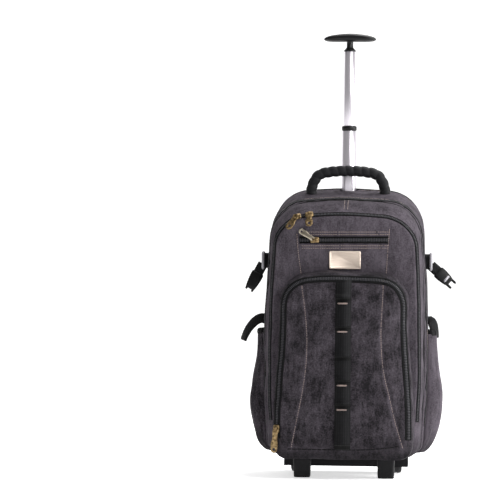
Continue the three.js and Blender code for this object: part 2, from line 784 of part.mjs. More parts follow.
// Carrying handle, wrapped tape over padding, standing on the top at the back
const grabY = tubeY - LOWER_TUBE_RADIUS - COLLAR_STEP - GRAB_DEEP / 2 - 4;
const grabFoot = topOf(mainShell, GRAB_HALF_SPAN, grabY) - 3;
const grabPath = smooth(
  [
    [-GRAB_HALF_SPAN, grabY, grabFoot],
    [-GRAB_HALF_SPAN + 1, grabY, grabFoot + 14],
    [-GRAB_HALF_SPAN * 0.82, grabY, GRAB_TOP - GRAB_WIDE * 0.95],
    [-GRAB_HALF_SPAN * 0.5, grabY, GRAB_TOP - GRAB_WIDE * 0.6],
    [0, grabY, GRAB_TOP - GRAB_WIDE / 2],
    [GRAB_HALF_SPAN * 0.5, grabY, GRAB_TOP - GRAB_WIDE * 0.6],
    [GRAB_HALF_SPAN * 0.82, grabY, GRAB_TOP - GRAB_WIDE * 0.95],
    [GRAB_HALF_SPAN - 1, grabY, grabFoot + 14],
    [GRAB_HALF_SPAN, grabY, grabFoot],
  ],
  GRAB_WRAPS * 2,
);
const grabPadding = ovalSection(GRAB_DEEP, GRAB_WIDE, 10);
const grabBar = sweep(grabPath, grabPadding, new THREE.Vector3(0, 1, 0), (t) => {
  const wrap = 0.93 + 0.07 * Math.abs(Math.sin(Math.PI * GRAB_WRAPS * t));
  return [wrap, wrap];
});
add("grab_handle", cut(grabBar, mainGrown), tape);

// Daisy chain: webbing sewn down at tacks and lifted a little between them
const daisyTacks = [365, 322, 271, 217, 174, 130, 57];
const daisyPath = [];
daisyTacks.slice(0, -1).forEach((top, i) => {
  const bottom = daisyTacks[i + 1];
  const LIFT_STEPS = 5;
  for (let k = i === 0 ? 0 : 1; k <= LIFT_STEPS; k++) {
    const t = k / LIFT_STEPS;
    const z = THREE.MathUtils.clamp(THREE.MathUtils.lerp(top, bottom, t), DAISY_BOTTOM, DAISY_TOP);
    const lift = LOOP_RISE * Math.pow(Math.sin(Math.PI * t), 0.7);
    const reach = (top - bottom) / LIFT_STEPS / 2;
    const heights = [-reach, 0, reach].map((step) =>
      THREE.MathUtils.clamp(z + step, DAISY_BOTTOM, DAISY_TOP),
    );
    const face = Math.min(
      ...heights.flatMap((height) => [0, DAISY_WIDTH / 2].map((x) => frontOf(frontPocket, x, height))),
    );
    daisyPath.push(new THREE.Vector3(0, face - CLEARANCE * 2 - WEBBING / 2 - Math.max(lift, 0), z));
  }
});
add(
  "daisy_webbing",
  sweep(daisyPath, flatSection(DAISY_WIDTH, WEBBING), new THREE.Vector3(1, 0, 0)),
  tape,
);

// Name plate: bare metal with a raised rim
function roundedPlate(width, height, corner) {
  const shape = new THREE.Shape();
  const [x, y] = [width / 2 - corner, height / 2 - corner];
  shape.absarc(x, y, corner, 0, Math.PI / 2);
  shape.absarc(-x, y, corner, Math.PI / 2, Math.PI);
  shape.absarc(-x, -y, corner, Math.PI, 1.5 * Math.PI);
  shape.absarc(x, -y, corner, 1.5 * Math.PI, 2 * Math.PI);
  return shape;
}
const PLATE_RIM = 2;
const PLATE_CORNER = 2.5;
const plateSolid = (inset, thickness) =>
  new THREE.ExtrudeGeometry(
    roundedPlate(PLATE_WIDTH - 2 * inset, PLATE_HEIGHT - 2 * inset, PLATE_CORNER),
    { depth: thickness, bevelEnabled: false, curveSegments: 3 },
  ).rotateX(Math.PI / 2);
const plateBack = secondFront - CLEARANCE;
add(
  "name_plate",
  cut(
    plateSolid(0, PLATE_THICKNESS).translate(0, plateBack, plateMiddle),
    plateSolid(PLATE_RIM, PLATE_THICKNESS).translate(0, plateBack - PLATE_THICKNESS * 0.6, plateMiddle),
  ),
  nickel,
);

// Brass sliders, each with its pull fused to it by a small ring
const PULL_THICKNESS = 1.8;
const SLIDER_HEIGHT = 5;

// A slider on a surface at (x, y, z), its pull hanging from it at a tilt in degrees.
function slider(name, [x, y, z], { long, wide, pullLong, pullWide, tilt }) {
  const front = y - CLEARANCE;
  const bodyTop = front - SLIDER_HEIGHT;
  const body = loft(
    [[front, 1], [front - SLIDER_HEIGHT * 0.6, 0.96], [bodyTop, 0.6]].map(([depth, shrink]) =>
      softSection(long * shrink, wide * shrink, wide * 0.2 * shrink).map(
        ([u, v]) => new THREE.Vector3(u, depth, v),
      ),
    ),
  );
  const pullFront = bodyTop - PULL_THICKNESS * 0.3;
  const pullRows = [[0, 0.5], [0.12, 0.8], [0.3, 0.7], [0.85, 1], [1, 0.7]];
  const pull = loft(
    pullRows.map(([down, share]) =>
      softSection(pullWide * share, PULL_THICKNESS, PULL_THICKNESS * 0.2).map(
        ([u, v]) => new THREE.Vector3(u, pullFront + v, -down * pullLong),
      ),
    ),
  ).rotateY(THREE.MathUtils.degToRad(tilt));
  add(name, fuse(body, pull).translate(x, 0, z), brass);
}

const bandMiddle = (form, [from, to], x) => {
  const row = between(from, to, 0.5);
  const points = ring(form, row);
  const right = points.filter((p) => p.x >= 0 && p.z > (form.bottom + form.top) / 2);
  right.sort((a, b) => a.x - b.x);
  const next = right.findIndex((p) => p.x > Math.abs(x));
  const [a, b] = [right[Math.max(next - 1, 0)], right[next]];
  return THREE.MathUtils.lerp(a.z, b.z, (Math.abs(x) - a.x) / (b.x - a.x));
};
const sliderSizes = {
  arch: { long: 14, wide: 10, pullLong: 30, pullWide: 12 },
  pocket: { long: 15, wide: 11, pullLong: 34, pullWide: 10 },
  front: { long: 11, wide: 14, pullLong: 44, pullWide: 13 },
};
const LEFT_SLIDER_X = 88;
const RIGHT_SLIDER_X = 66;
slider(
  "slider_second_left",
  [-LEFT_SLIDER_X, secondFront, bandMiddle(forms.second, secondZip, LEFT_SLIDER_X)],
  { ...sliderSizes.arch, tilt: 24 },
);
slider(
  "slider_second_right",
  [-RIGHT_SLIDER_X, secondFront, bandMiddle(forms.second, secondZip, RIGHT_SLIDER_X)],
  { ...sliderSizes.arch, tilt: -4 },
);
slider(
  "slider_pocket",
  [-POCKET_ZIP_LENGTH / 2 + 26, secondFront - ZIP_PROUD, pocketZipMiddle],
  { ...sliderSizes.pocket, tilt: 123 },
);
const FRONT_SLIDER_HEIGHT = 92;
const frontSliderX = POCKET_HALF - POCKET_BEVEL * 0.55;
slider(
  "slider_front",
  [
    -frontSliderX,
    Math.min(
      ...[-1, 1].map((s) =>
        frontOf(
          frontZipMesh,
          (sliderSizes.front.long / 2) - frontSliderX,
          FRONT_SLIDER_HEIGHT + (s * sliderSizes.front.wide) / 2,
        ),
      ),
    ),
    FRONT_SLIDER_HEIGHT,
  ],
  { ...sliderSizes.front, tilt: 6 },
);

// Side straps: a tab sewn to the gusset, a ring and the fastened buckle's end hanging from it
const TAB_WIDTH = 24;
const TAB_HEIGHT = 30;
const TAB_OUT = 7;
const RING_THICKNESS = 5;
const SIDE_STRAP_HEIGHT = 398;
const SIDE_STRAP_Y = mainFront + MAIN_ZIP_SETBACK + MAIN_ZIP_WIDTH + 20;
const BUCKLE_LENGTH = 40;
const BUCKLE_THICKNESS = 9;
// Along the buckle, its width and its thickness, as shares of its largest
const buckleRows = [[0, 0.5, 0.6], [0.12, 0.8, 1], [0.45, 1, 1], [0.62, 0.72, 0.8], [1, 0.72, 0.62]];

for (const [name, side, droop] of [["left", -1, 62], ["right", 1, 42]]) {
  const wall = (z) => side * sideOf(mainShell, side, SIDE_STRAP_Y, z);
  const low = SIDE_STRAP_HEIGHT - TAB_HEIGHT / 2;
  const high = SIDE_STRAP_HEIGHT + TAB_HEIGHT / 2;
  const seat = Math.max(wall(low), wall(high), wall(SIDE_STRAP_HEIGHT)) + CLEARANCE;
  const span = (from, to, z0, z1, half) =>
    box(
      [Math.min(side * from, side * to), SIDE_STRAP_Y - half, z0],
      [Math.max(side * from, side * to), SIDE_STRAP_Y + half, z1],
    );
  add(
    "upper_tab_" + name,
    cut(span(seat - 3, seat + TAB_OUT, low, high, TAB_WIDTH / 2), mainGrown),
    tape,
  );
  const ringFrom = seat + TAB_OUT + CLEARANCE;
  add(
    "upper_ring_" + name,
    span(ringFrom, ringFrom + RING_THICKNESS, low - 2, high + 2, TAB_WIDTH / 2 + 3),
    plastic,
  );
  const buckle = loft(
    buckleRows.map(
      ([along, wide, thick]) =>
        softSection(TAB_WIDTH * wide, BUCKLE_THICKNESS * thick, 1.5).map(
          ([u, v]) => new THREE.Vector3(along * BUCKLE_LENGTH, u, v),
        ),
    ),
  )
    .rotateX(Math.PI / 2)
    .rotateY(THREE.MathUtils.degToRad(droop))
    .translate(0, SIDE_STRAP_Y, 0);
  const turn = THREE.MathUtils.degToRad(droop);
  const lean = Math.max(
    ...buckleRows.map(
      ([along, wide]) => (TAB_WIDTH * wide * Math.sin(turn)) / 2 - along * BUCKLE_LENGTH * Math.cos(turn),
    ),
  );
  const start = ringFrom + RING_THICKNESS + CLEARANCE + lean;
  buckle.translate(start, 0, SIDE_STRAP_HEIGHT - 4);
  add("upper_buckle_" + name, toGeometry(toSolid(side > 0 ? buckle : mirrored(buckle))), plastic);
}

// The same shape on the other side of the middle plane.
function mirrored(geometry) {
  const copy = geometry.clone().scale(-1, 1, 1);
  const triangles = copy.index.array;
  for (let i = 0; i < triangles.length; i += 3) {
    [triangles[i + 1], triangles[i + 2]] = [triangles[i + 2], triangles[i + 1]];
  }
  return copy;
}

// The strap that closes each side pocket, arching out and down to its free end
const SIDE_STRAP_WIDTH = 22;
const SIDE_STRAP_THICKNESS = 4;
const STRAP_ABOVE_POCKET = 18;
const strapHeight = SIDE_POCKET_TOP + STRAP_ABOVE_POCKET;
const strapRoutes = {
  left: [[1, 0], [10, 3], [24, -3], [36, -14], [42, -30]],
  right: [[1, 2], [10, 5], [20, 0], [25, -10], [26, -26]],
};
for (const [name, side] of [["left", -1], ["right", 1]]) {
  const seatY = SIDE_STRAP_Y + 6;
  const seat = side * sideOf(mainShell, side, seatY, strapHeight);
  const path = smooth(
    strapRoutes[name].map(([out, rise]) => [side * (seat + out - 2), seatY, strapHeight + rise]),
    12,
  );
  const strip = sweep(
    path,
    softSection(SIDE_STRAP_WIDTH, SIDE_STRAP_THICKNESS, 1),
    new THREE.Vector3(0, 1, 0),
  );
  add("side_strap_" + name, cut(strip, mainGrown), tape);
}

// Piping over the seam between the main compartment and the back panel
const PIPING_RISE = 3;
const PIPING_START = 6;
const pipingRows = [0.1, 0.95].map((share) => between(mainRows[1], mainRows[0], share));
add(
  "back_piping",
  archBand(forms.main, ...pipingRows.reverse(), PIPING_START, { rise: PIPING_RISE, sink: -CLEARANCE }),
  tape,
);

export default group;
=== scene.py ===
import math

import bmesh
import bpy
import numpy as np
from mathutils import Matrix, Vector, noise
from mathutils.bvhtree import BVHTree


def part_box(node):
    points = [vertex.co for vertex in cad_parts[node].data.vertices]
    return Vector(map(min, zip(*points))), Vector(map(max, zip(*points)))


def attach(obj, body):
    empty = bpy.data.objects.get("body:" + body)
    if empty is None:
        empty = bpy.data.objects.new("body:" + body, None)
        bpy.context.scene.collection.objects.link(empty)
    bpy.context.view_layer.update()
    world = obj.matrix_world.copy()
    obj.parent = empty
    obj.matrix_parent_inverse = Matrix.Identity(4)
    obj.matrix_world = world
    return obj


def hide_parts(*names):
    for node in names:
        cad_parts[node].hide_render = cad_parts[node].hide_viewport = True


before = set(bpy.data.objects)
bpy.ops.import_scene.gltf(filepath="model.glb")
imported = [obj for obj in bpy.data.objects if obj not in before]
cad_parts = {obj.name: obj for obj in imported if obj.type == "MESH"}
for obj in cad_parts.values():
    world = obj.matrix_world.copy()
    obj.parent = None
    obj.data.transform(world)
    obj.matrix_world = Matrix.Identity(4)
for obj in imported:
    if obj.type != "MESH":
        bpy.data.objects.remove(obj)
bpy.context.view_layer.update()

# Stage: a plain pale floor that curves up behind the bag, and three soft studio lights.
# The camera stands in front at the height of the plate and looks a little to the bag's left.
MM = 0.001


def linear(hex_colour):
    """An sRGB hex colour such as "8c7a74" as linear red, green, blue and alpha."""
    channels = [int(hex_colour[i:i + 2], 16) / 255 for i in (0, 2, 4)]
    return [c / 12.92 if c <= 0.04045 else ((c + 0.055) / 1.055) ** 2.4 for c in channels] + [1.0]


def node(material, kind, links=(), **settings):
    """Adds a shader node; settings are attributes or inputs, links are (input, from node, output)."""
    made = material.node_tree.nodes.new(kind)
    for key, value in settings.items():
        if hasattr(made, key):
            setattr(made, key, value)
        else:
            made.inputs[key.replace("_", " ")].default_value = value
    for to_input, source, output in links:
        material.node_tree.links.new(source.outputs[output], made.inputs[to_input])
    return made


def new_material(name, **shader):
    """A material with a Principled shader, whose sockets are set by name; returns both."""
    material = bpy.data.materials.new(name)
    material.use_nodes = True
    principled = material.node_tree.nodes["Principled BSDF"]
    for key, value in shader.items():
        principled.inputs[key.replace("_", " ")].default_value = value
    return material, principled


def link(material, source, output, target, socket):
    material.node_tree.links.new(source.outputs[output], target.inputs[socket])


def build(name, points, faces, material):
    """A mesh object from points in metres; the faces are turned to point out."""
    mesh = bpy.data.meshes.new(name)
    mesh.from_pydata([tuple(p) for p in points], [], [tuple(f) for f in faces])
    shape = bmesh.new()
    shape.from_mesh(mesh)
    bmesh.ops.recalc_face_normals(shape, faces=shape.faces)
    shape.to_mesh(mesh)
    shape.free()
    piece = bpy.data.objects.new(name, mesh)
    bpy.context.scene.collection.objects.link(piece)
    mesh.materials.append(material)
    mesh.polygons.foreach_set("use_smooth", [True] * len(mesh.polygons))
    return piece


def grained(name, scale, detail=2.0, dyes=None, rough=None, bump=None, stretch=None, follows="Object",
            **shader):
    """A material whose one fine noise can vary its dye, its roughness and, by (strength, mm), its surface."""
    material, principled = new_material(name, **shader)
    place, output = node(material, "ShaderNodeTexCoord"), follows
    if stretch:
        place, output = node(material, "ShaderNodeMapping", [("Vector", place, follows)]), "Vector"
        place.inputs["Scale"].default_value = stretch
    grain = node(material, "ShaderNodeTexNoise", [("Vector", place, output)], Scale=scale, Detail=detail)
    if dyes:
        dye = node(material, "ShaderNodeMixRGB", [("Fac", grain, "Fac")])
        dye.inputs["Color1"].default_value, dye.inputs["Color2"].default_value = map(linear, dyes)
        link(material, dye, "Color", principled, "Base Color")
    if rough:
        spread = node(material, "ShaderNodeMapRange", [("Value", grain, "Fac")])
        spread.inputs["To Min"].default_value, spread.inputs["To Max"].default_value = rough
        link(material, spread, "Result", principled, "Roughness")
    if bump:
        bumped = node(material, "ShaderNodeBump", [("Height", grain, "Fac")],
                      Strength=bump[0], Distance=bump[1] * MM)
        link(material, bumped, "Normal", principled, "Normal")
    return material


FLOOR_REACH = 12.0
FLOOR_CURVE = 2.5
BACKDROP_Y = 6.0
backdrop_material, _ = new_material(
    "white_paper_backdrop", Base_Color=linear("f6f6f6"), Roughness=0.9, Specular_IOR_Level=0.1,
    Emission_Color=linear("ffffff"), Emission_Strength=0.62,
)
profile = [(-FLOOR_REACH, 0.0), (BACKDROP_Y, 0.0)]
for step in range(1, 13):
    turn = math.radians(90 * step / 12)
    profile.append((BACKDROP_Y + FLOOR_CURVE * math.sin(turn), FLOOR_CURVE * (1 - math.cos(turn))))
profile.append((BACKDROP_Y + FLOOR_CURVE, FLOOR_REACH))
points = [(x, y, z - 0.0002) for x in (-FLOOR_REACH, FLOOR_REACH) for y, z in profile]
rows = len(profile)
floor = build(
    "floor", points, [(i, i + 1, i + 1 + rows, i + rows) for i in range(rows - 1)], backdrop_material,
)

EYE_HEIGHT = 0.417
DISTANCE = 4.5
AZIMUTH = math.radians(2.4)
ROLL = math.radians(0.5)
PIXEL_AT_BAG = 1.853 * MM
PHOTO_SIDE = 500
BAG_COLUMN = 346.5
camera = bpy.data.objects.new("camera", bpy.data.cameras.new("camera"))
bpy.context.scene.collection.objects.link(camera)
bpy.context.scene.camera = camera
pixels_per_unit = DISTANCE / PIXEL_AT_BAG
camera.data.sensor_width = 36
camera.data.lens = 36 * pixels_per_unit / PHOTO_SIDE
yaw = math.atan((BAG_COLUMN - PHOTO_SIDE / 2) / pixels_per_unit)
camera.location = (DISTANCE * math.sin(AZIMUTH), -DISTANCE * math.cos(AZIMUTH), EYE_HEIGHT)
camera.rotation_mode = "XYZ"
turned = Matrix.Rotation(AZIMUTH + yaw, 4, "Z") @ Matrix.Rotation(math.pi / 2, 4, "X")
camera.rotation_euler = (turned @ Matrix.Rotation(ROLL, 4, "Z")).to_euler()
camera.data.clip_end = 60

LIGHTS = [
    {"name": "key", "place": (1.2, -1.3, 1.7), "side": 0.8, "watts": 32},
    {"name": "side", "place": (2.3, -0.3, 0.9), "side": 1.0, "watts": 56},
    {"name": "top", "place": (0.4, 0.5, 2.4), "side": 1.0, "watts": 40},
]
for row in LIGHTS:
    lamp = bpy.data.objects.new(row["name"], bpy.data.lights.new(row["name"], "AREA"))
    lamp.data.energy = row["watts"]
    lamp.data.size = row["side"]
    lamp.location = row["place"]
    aim = Vector((0, 0, 0.35)) - lamp.location
    lamp.rotation_euler = aim.to_track_quat("-Z", "Y").to_euler()
    bpy.context.scene.collection.objects.link(lamp)
world = bpy.data.worlds.new("studio")
bpy.context.scene.world = world
world.use_nodes = True
world.node_tree.nodes["Background"].inputs["Color"].default_value = linear("ffffff")
world.node_tree.nodes["Background"].inputs["Strength"].default_value = 0.34
bpy.context.scene.view_settings.view_transform = "Standard"

# Canvas: washed cotton canvas, plain weave, dyed charcoal and stone-washed after sewing, so
# creases, seams and edges are rubbed paler and the dye is blotched. It is matt with a soft nap.
THREAD_MM = 2.2  # a real thread is 0.9 mm, which is too fine to show at this distance
DYE_REACH = 0.467  # how far the three noises' sum, about 1.5, swings from dark to pale


def canvas_material(name, dark, pale, thread):
    """A woven cloth: blotched dye, thread-scale bump, paler rubbed places and painted shade and light from a
    point attribute.
    """
    material, cloth = new_material(name, Roughness=0.92, Sheen_Weight=0.09, Sheen_Roughness=0.5,
                                   Specular_IOR_Level=0.15)
    cloth.inputs["Sheen Tint"].default_value = linear(pale)
    place = node(material, "ShaderNodeTexCoord")
    blotch = node(material, "ShaderNodeTexNoise", [("Vector", place, "Object")],
                  Scale=26.0, Detail=6.0, Roughness=0.62)
    streak_place = node(material, "ShaderNodeMapping", [("Vector", place, "Object")])
    streak_place.inputs["Scale"].default_value = (150, 150, 38)
    streak = node(material, "ShaderNodeTexNoise", [("Vector", streak_place, "Vector")],
                  Scale=1.0, Detail=4.0, Roughness=0.7)
    speck = node(material, "ShaderNodeTexNoise", [("Vector", place, "Object")],
                 Scale=1 / (thread * MM) * 0.9, Detail=2.0, Roughness=0.5)
    mix_a = node(material, "ShaderNodeMath", [(0, blotch, "Fac"), (1, streak, "Fac")], operation="ADD")
    mix_b = node(material, "ShaderNodeMath", [(0, mix_a, 0), (1, speck, "Fac")], operation="ADD")
    spread = node(material, "ShaderNodeMapRange", [("Value", mix_b, 0)])
    spread.inputs["From Min"].default_value = 1.5 - DYE_REACH
    spread.inputs["From Max"].default_value = 1.5 + DYE_REACH
    # the point attribute holds rubbed wear and also painted shade and painted light: whole pieces are painted
    # darker or paler for how they are lit
    wear_and_painted_shade = node(material, "ShaderNodeAttribute", attribute_name="wear_and_painted_shade")
    wear_and_shade_sum = node(material, "ShaderNodeMath", [(0, wear_and_painted_shade, "Fac"), (1, spread, "Result")],
                  operation="ADD", use_clamp=True)
    dye = node(material, "ShaderNodeMixRGB", [("Fac", wear_and_shade_sum, 0)])
    dye.inputs["Color1"].default_value = linear(dark)
    dye.inputs["Color2"].default_value = linear(pale)
    # the cloth is darker towards the bottom, from 85 mm down to 45 mm above the floor
    place_parts = node(material, "ShaderNodeSeparateXYZ", [("Vector", place, "Object")])
    darkening_to_floor = node(material, "ShaderNodeMapRange", [("Value", place_parts, "Z")])
    darkening_to_floor.inputs["From Min"].default_value = 0.045
    darkening_to_floor.inputs["From Max"].default_value = 0.085
    darkening_to_floor.inputs["To Min"].default_value = 0.6
    darkening_to_floor.inputs["To Max"].default_value = 0.0
    darkened_low = node(material, "ShaderNodeMixRGB", [("Fac", darkening_to_floor, "Result"), ("Color1", dye, "Color")])
    darkened_low.inputs["Color2"].default_value = linear("0b0a0c")
    link(material, darkened_low, "Color", cloth, "Base Color")
    turns = math.tau / (thread * MM) / 20
    waves = []
    for axis in ("X", "Z"):
        waves.append(node(material, "ShaderNodeTexWave", [("Vector", place, "Object")],
                          wave_type="BANDS", bands_direction=axis, Scale=turns, Distortion=0.6))
    crossed = node(material, "ShaderNodeMath", [(0, waves[0], "Fac"), (1, waves[1], "Fac")],
                   operation="MULTIPLY")
    height = node(material, "ShaderNodeMath", [(0, crossed, 0), (1, speck, "Fac")], operation="ADD")
    bump = node(material, "ShaderNodeBump", [("Height", height, 0)], Strength=0.35, Distance=0.5 * MM)
    link(material, bump, "Normal", cloth, "Normal")
    return material


canvas = canvas_material("washed_cotton_canvas", "121013", "504a51", THREAD_MM)

# Compartments: the main one with the back, the second in front of it and the front pocket are
# each a canvas bag sewn from a face and a gusset, closed here by their zips. The gussets sag
# between their seams, the faces are filled out from behind, and the cloth creases by the seams.

# corner: radius at the foot; wide and high: radii of the top corners; bow: rise of the top's middle;
# grown: what the solid adds at each side; dye_and_painted_shade: how much paler the cloth is painted, and
# on the front pocket painted shade that darkens it; sides: (up, share of the half width)
FORMS = {
    "main": {
        "node": "main_shell", "corner": 30, "wide": 68, "high": 76, "bow": 3, "grown": 1, "dye_and_painted_shade": 0.04,
        "sides": [(0, 0.955), (0.15, 0.985), (0.4, 1), (0.65, 0.985), (0.85, 0.957), (1, 0.93)],
    },
    "second": {
        "node": "second_shell", "corner": 30, "wide": 74, "high": 66, "bow": 3, "grown": 0, "dye_and_painted_shade": 0.02,
        "sides": [(0, 0.96), (0.25, 1), (0.6, 0.995), (0.85, 0.975), (1, 0.945)],
    },
    # painted shade: the front pocket's cloth is painted darker than the faces above it
    "pocket": {
        "node": "front_pocket", "corner": 26, "wide": 50, "high": 58, "bow": 3, "grown": 0, "dye_and_painted_shade": -0.28,
        "sides": [(0, 0.985), (0.17, 1), (0.4, 0.975), (0.72, 0.925), (1, 0.915)],
    },
}
for form in FORMS.values():
    low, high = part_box(form["node"])
    form["bottom"], form["top"] = low.z / MM, high.z / MM - form["bow"]
    form["half"] = high.x / MM - form["grown"]
    form["front"], form["back"] = low.y / MM, high.y / MM
    ups, halves = zip(*form["sides"])
    fine = np.linspace(0, 1, 60)
    coarse = np.interp(fine, ups, halves)
    padded = np.pad(coarse, 6, mode="edge")
    form["ups"], form["halves"] = fine, np.convolve(padded, np.ones(13) / 13, "valid")


def arch_line(form, inset, drop, count):
    """An arch-topped outline seen from the front, in mm, evenly spaced from the bottom middle."""
    low, high = form["bottom"] + inset, form["top"] - drop - inset
    corner = max(form["corner"] - inset, form["corner"] / 5)
    wide, tall = max(form["wide"] - inset, form["wide"] / 5), max(form["high"] - inset, form["high"] / 5)
    foot_half = form["half"] * form["halves"][0] - inset
    top_half = form["half"] * form["halves"][-1] - inset
    right = [(0, low)]
    for turn in np.radians(np.linspace(-90, 0, 10)):
        right.append((foot_half - corner + corner * math.cos(turn), low + corner + corner * math.sin(turn)))
    for up in np.linspace(0, 1, 40)[1:-1]:
        half = form["half"] * np.interp(up, form["ups"], form["halves"]) - inset
        right.append((half, low + corner + (high - tall - low - corner) * up))
    for turn in np.radians(np.linspace(0, 90, 22)):
        right.append((top_half - wide + wide * math.cos(turn), high - tall + tall * math.sin(turn)))
    flat = top_half - wide
    for share in (0.75, 0.5, 0.25, 0):
        right.append((flat * share, high + form["bow"] * (1 - share * share)))
    left = [(-x, z) for x, z in right[-2:0:-1]]
    ring = np.array(right + left + [right[0]])
    length = np.concatenate([[0], np.cumsum(np.hypot(*np.diff(ring, axis=0).T))])
    places = np.linspace(0, length[-1], count, endpoint=False)
    return np.column_stack([np.interp(places, length, ring[:, 0]), np.interp(places, length, ring[:, 1])])


def dense_rows(rows, step):
    """Profile rows (y, inset, drop, shrink) with more put between them, about step mm apart."""
    out = [rows[0]]
    for a, b in zip(rows, rows[1:]):
        reach = max(abs(b[0] - a[0]), abs(b[1] - a[1]), abs(b[3] - a[3]) * 230)
        parts = max(int(reach / step), 1)
        out += [tuple(np.array(a) + (np.array(b) - np.array(a)) * k / parts) for k in range(1, parts + 1)]
    return out


def cloth_shell(name, form, rows, wrinkle, count=340, step=4.0):
    """A closed cloth form through profile rows, moved along its normals by wrinkle(place, normal)."""
    rings = []
    middle = (form["bottom"] + form["top"]) / 2
    for y, inset, drop, shrink in dense_rows(rows, step):
        line = arch_line(form, inset, drop, count)
        rings.append(np.column_stack([
            line[:, 0] * shrink, np.full(count, y), middle + (line[:, 1] - middle) * shrink,
        ]))
    points = np.concatenate(rings + [rings[0].mean(0)[None], rings[-1].mean(0)[None]])
    faces = []
    for r in range(len(rings) - 1):
        for i in range(count):
            j = (i + 1) % count
            faces.append((r * count + i, r * count + j, (r + 1) * count + j, (r + 1) * count + i))
    first, last = len(points) - 2, len(points) - 1
    end = (len(rings) - 1) * count
    for i in range(count):
        j = (i + 1) % count
        faces.append((first, j, i))
        faces.append((last, end + i, end + j))
    piece = build(name, points * MM, faces, canvas)
    mesh = piece.data
    normals = np.zeros(len(points) * 3)
    mesh.vertices.foreach_get("normal", normals)
    normals = normals.reshape(-1, 3)
    moved, wear_and_painted_shade = points.copy(), np.zeros(len(points))
    for i, (place, normal) in enumerate(zip(points, normals)):
        lift, rub = wrinkle(Vector(place), Vector(normal))
        moved[i] = place + normal * lift
        wear_and_painted_shade[i] = rub
    mesh.vertices.foreach_set("co", (moved * MM).ravel())
    # shifts each piece's cloth paler or darker; on the front pocket this is painted shade
    wear_and_painted_shade += form["dye_and_painted_shade"]
    mesh.attributes.new("wear_and_painted_shade", "FLOAT", "POINT").data.foreach_set("value", wear_and_painted_shade)
    mesh.update()
    return piece


def wave(place, size, stretch=(1, 1, 1), shift=0.0):
    """Smooth noise from -1 to 1 whose bumps are about size mm across."""
    return noise.noise(Vector((place.x * stretch[0], place.y * stretch[1], place.z * stretch[2]))
                       / size + Vector((shift, shift * 0.7, shift * 1.3)))


def near(distance, reach):
    """1 at distance 0, fading to 0 at reach."""
    share = min(abs(distance) / reach, 1)
    return (1 - share) ** 2 * (1 + 2 * share)


def creases(place, size, depth, stretch=(1, 1, 1), shift=0.0):
    """Sharp creases: noise folded about zero, so that it has narrow valleys."""
    value = wave(place, size, stretch, shift) + 0.5 * wave(place, size / 2.1, stretch, shift + 3)
    return -depth * math.exp(-abs(value) * 9)


# Main compartment: the deep one by the back. Its gusset slopes forward to the zip.
MAIN_FALL = 23
main = FORMS["main"]
main_middle = (main["front"] + main["back"]) / 2


def main_wrinkle(place, normal):
    sideways = abs(normal.x)
    lift = 1.8 * wave(place, 60) + 0.8 * wave(place, 22, (1, 1, 0.6), 5)
    fold = creases(place, 26, 3.2, (1, 1, 0.22), 2) * sideways
    fold += creases(place, 45, 1.6, (1, 1, 0.5), 2) * (1 - sideways)
    seam = min(near(place.y - main["front"] - 7, 9) + near(place.y - main["back"] + 6, 8), 1)
    lift += fold - 1.4 * seam
    lift += 0.5 * seam * math.sin((place.x + place.z) / 3.4)
    return min(lift, 2.2), 0.24 * seam + 0.12 * wave(place, 30, shift=9) - 0.08 * fold


main_rows = [
    (main["back"], 5, 0, 0.3), (main["back"], 5, 0, 0.97), (main["back"], 5, 0, 1),
    (main["back"] - 5, 0, 0, 1), (main["back"] - 20, -0.6, MAIN_FALL * 0.15, 1),
    (main_middle, -1, MAIN_FALL * 0.42, 1),
    (main["front"] + 12, 0, MAIN_FALL * 0.9, 1), (main["front"] + 3, 0.5, MAIN_FALL, 1),
    (main["front"], 4, MAIN_FALL, 1), (main["front"], 4, MAIN_FALL, 0.9),
]
main_bag = cloth_shell("main_bag", main, main_rows, main_wrinkle)
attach(main_bag, "pack")
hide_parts("main_shell")

# Second compartment: shallower, with a stitched gusset on top and a bevelled edge for its zip.
SECOND_FALL = 20
SECOND_BEVEL = 9
low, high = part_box("pocket_zip")
pocket_zip_middle = (low.z + high.z) / 2 / MM
second = FORMS["second"]
second_face_edge = 3 + SECOND_BEVEL
POCKET_ZIP_HALF = 84
# the face's two upright seams, beside the pocket zip
SECOND_FACE_SEAMS = [
    {"x": -84, "z": 412, "slope": 0.13, "route": [(-89, 452), (-88.5, 447), (-85.4, 412), (-79, 366)]},
    {"x": 78, "z": 415, "slope": -0.06, "route": [(81, 462), (78.2, 422.5), (74.8, 366)]},
]


def second_wrinkle(place, normal):
    sideways = abs(normal.x)
    lift = 1.4 * wave(place, 55, shift=1) + 0.7 * wave(place, 20, (1, 1, 0.6), 6)
    fold = creases(place, 24, 2.6, (1, 1, 0.2), 4) * sideways
    fold += creases(place, 52, 1.3, (0.6, 1, 1), 4) * (1 - sideways)
    lift += fold
    facing = max(-normal.y, 0)
    edge = near(place.y - second["front"] - 4, 10)
    lift -= 0.8 * edge * (1 - facing)
    # the top of the face is filled out above the front pocket
    puff = 4.5 * facing * near(place.x, 125) * near(place.z - 425, 62)
    for row in SECOND_FACE_SEAMS:
        away = place.x - row["x"] + (place.z - row["z"]) * row["slope"]
        lift -= 1.3 * near(away, 10) * facing * near(place.z - row["z"], 70)
    for z in (pocket_zip_middle - 10, pocket_zip_middle + 10):
        lift -= 0.8 * near(place.z - z, 7) * facing * (1 if abs(place.x) < POCKET_ZIP_HALF else 0)
    rub = 0.22 * edge + 0.14 * wave(place, 28, shift=11) - 0.08 * fold
    return min(lift, 1.6) + puff, rub


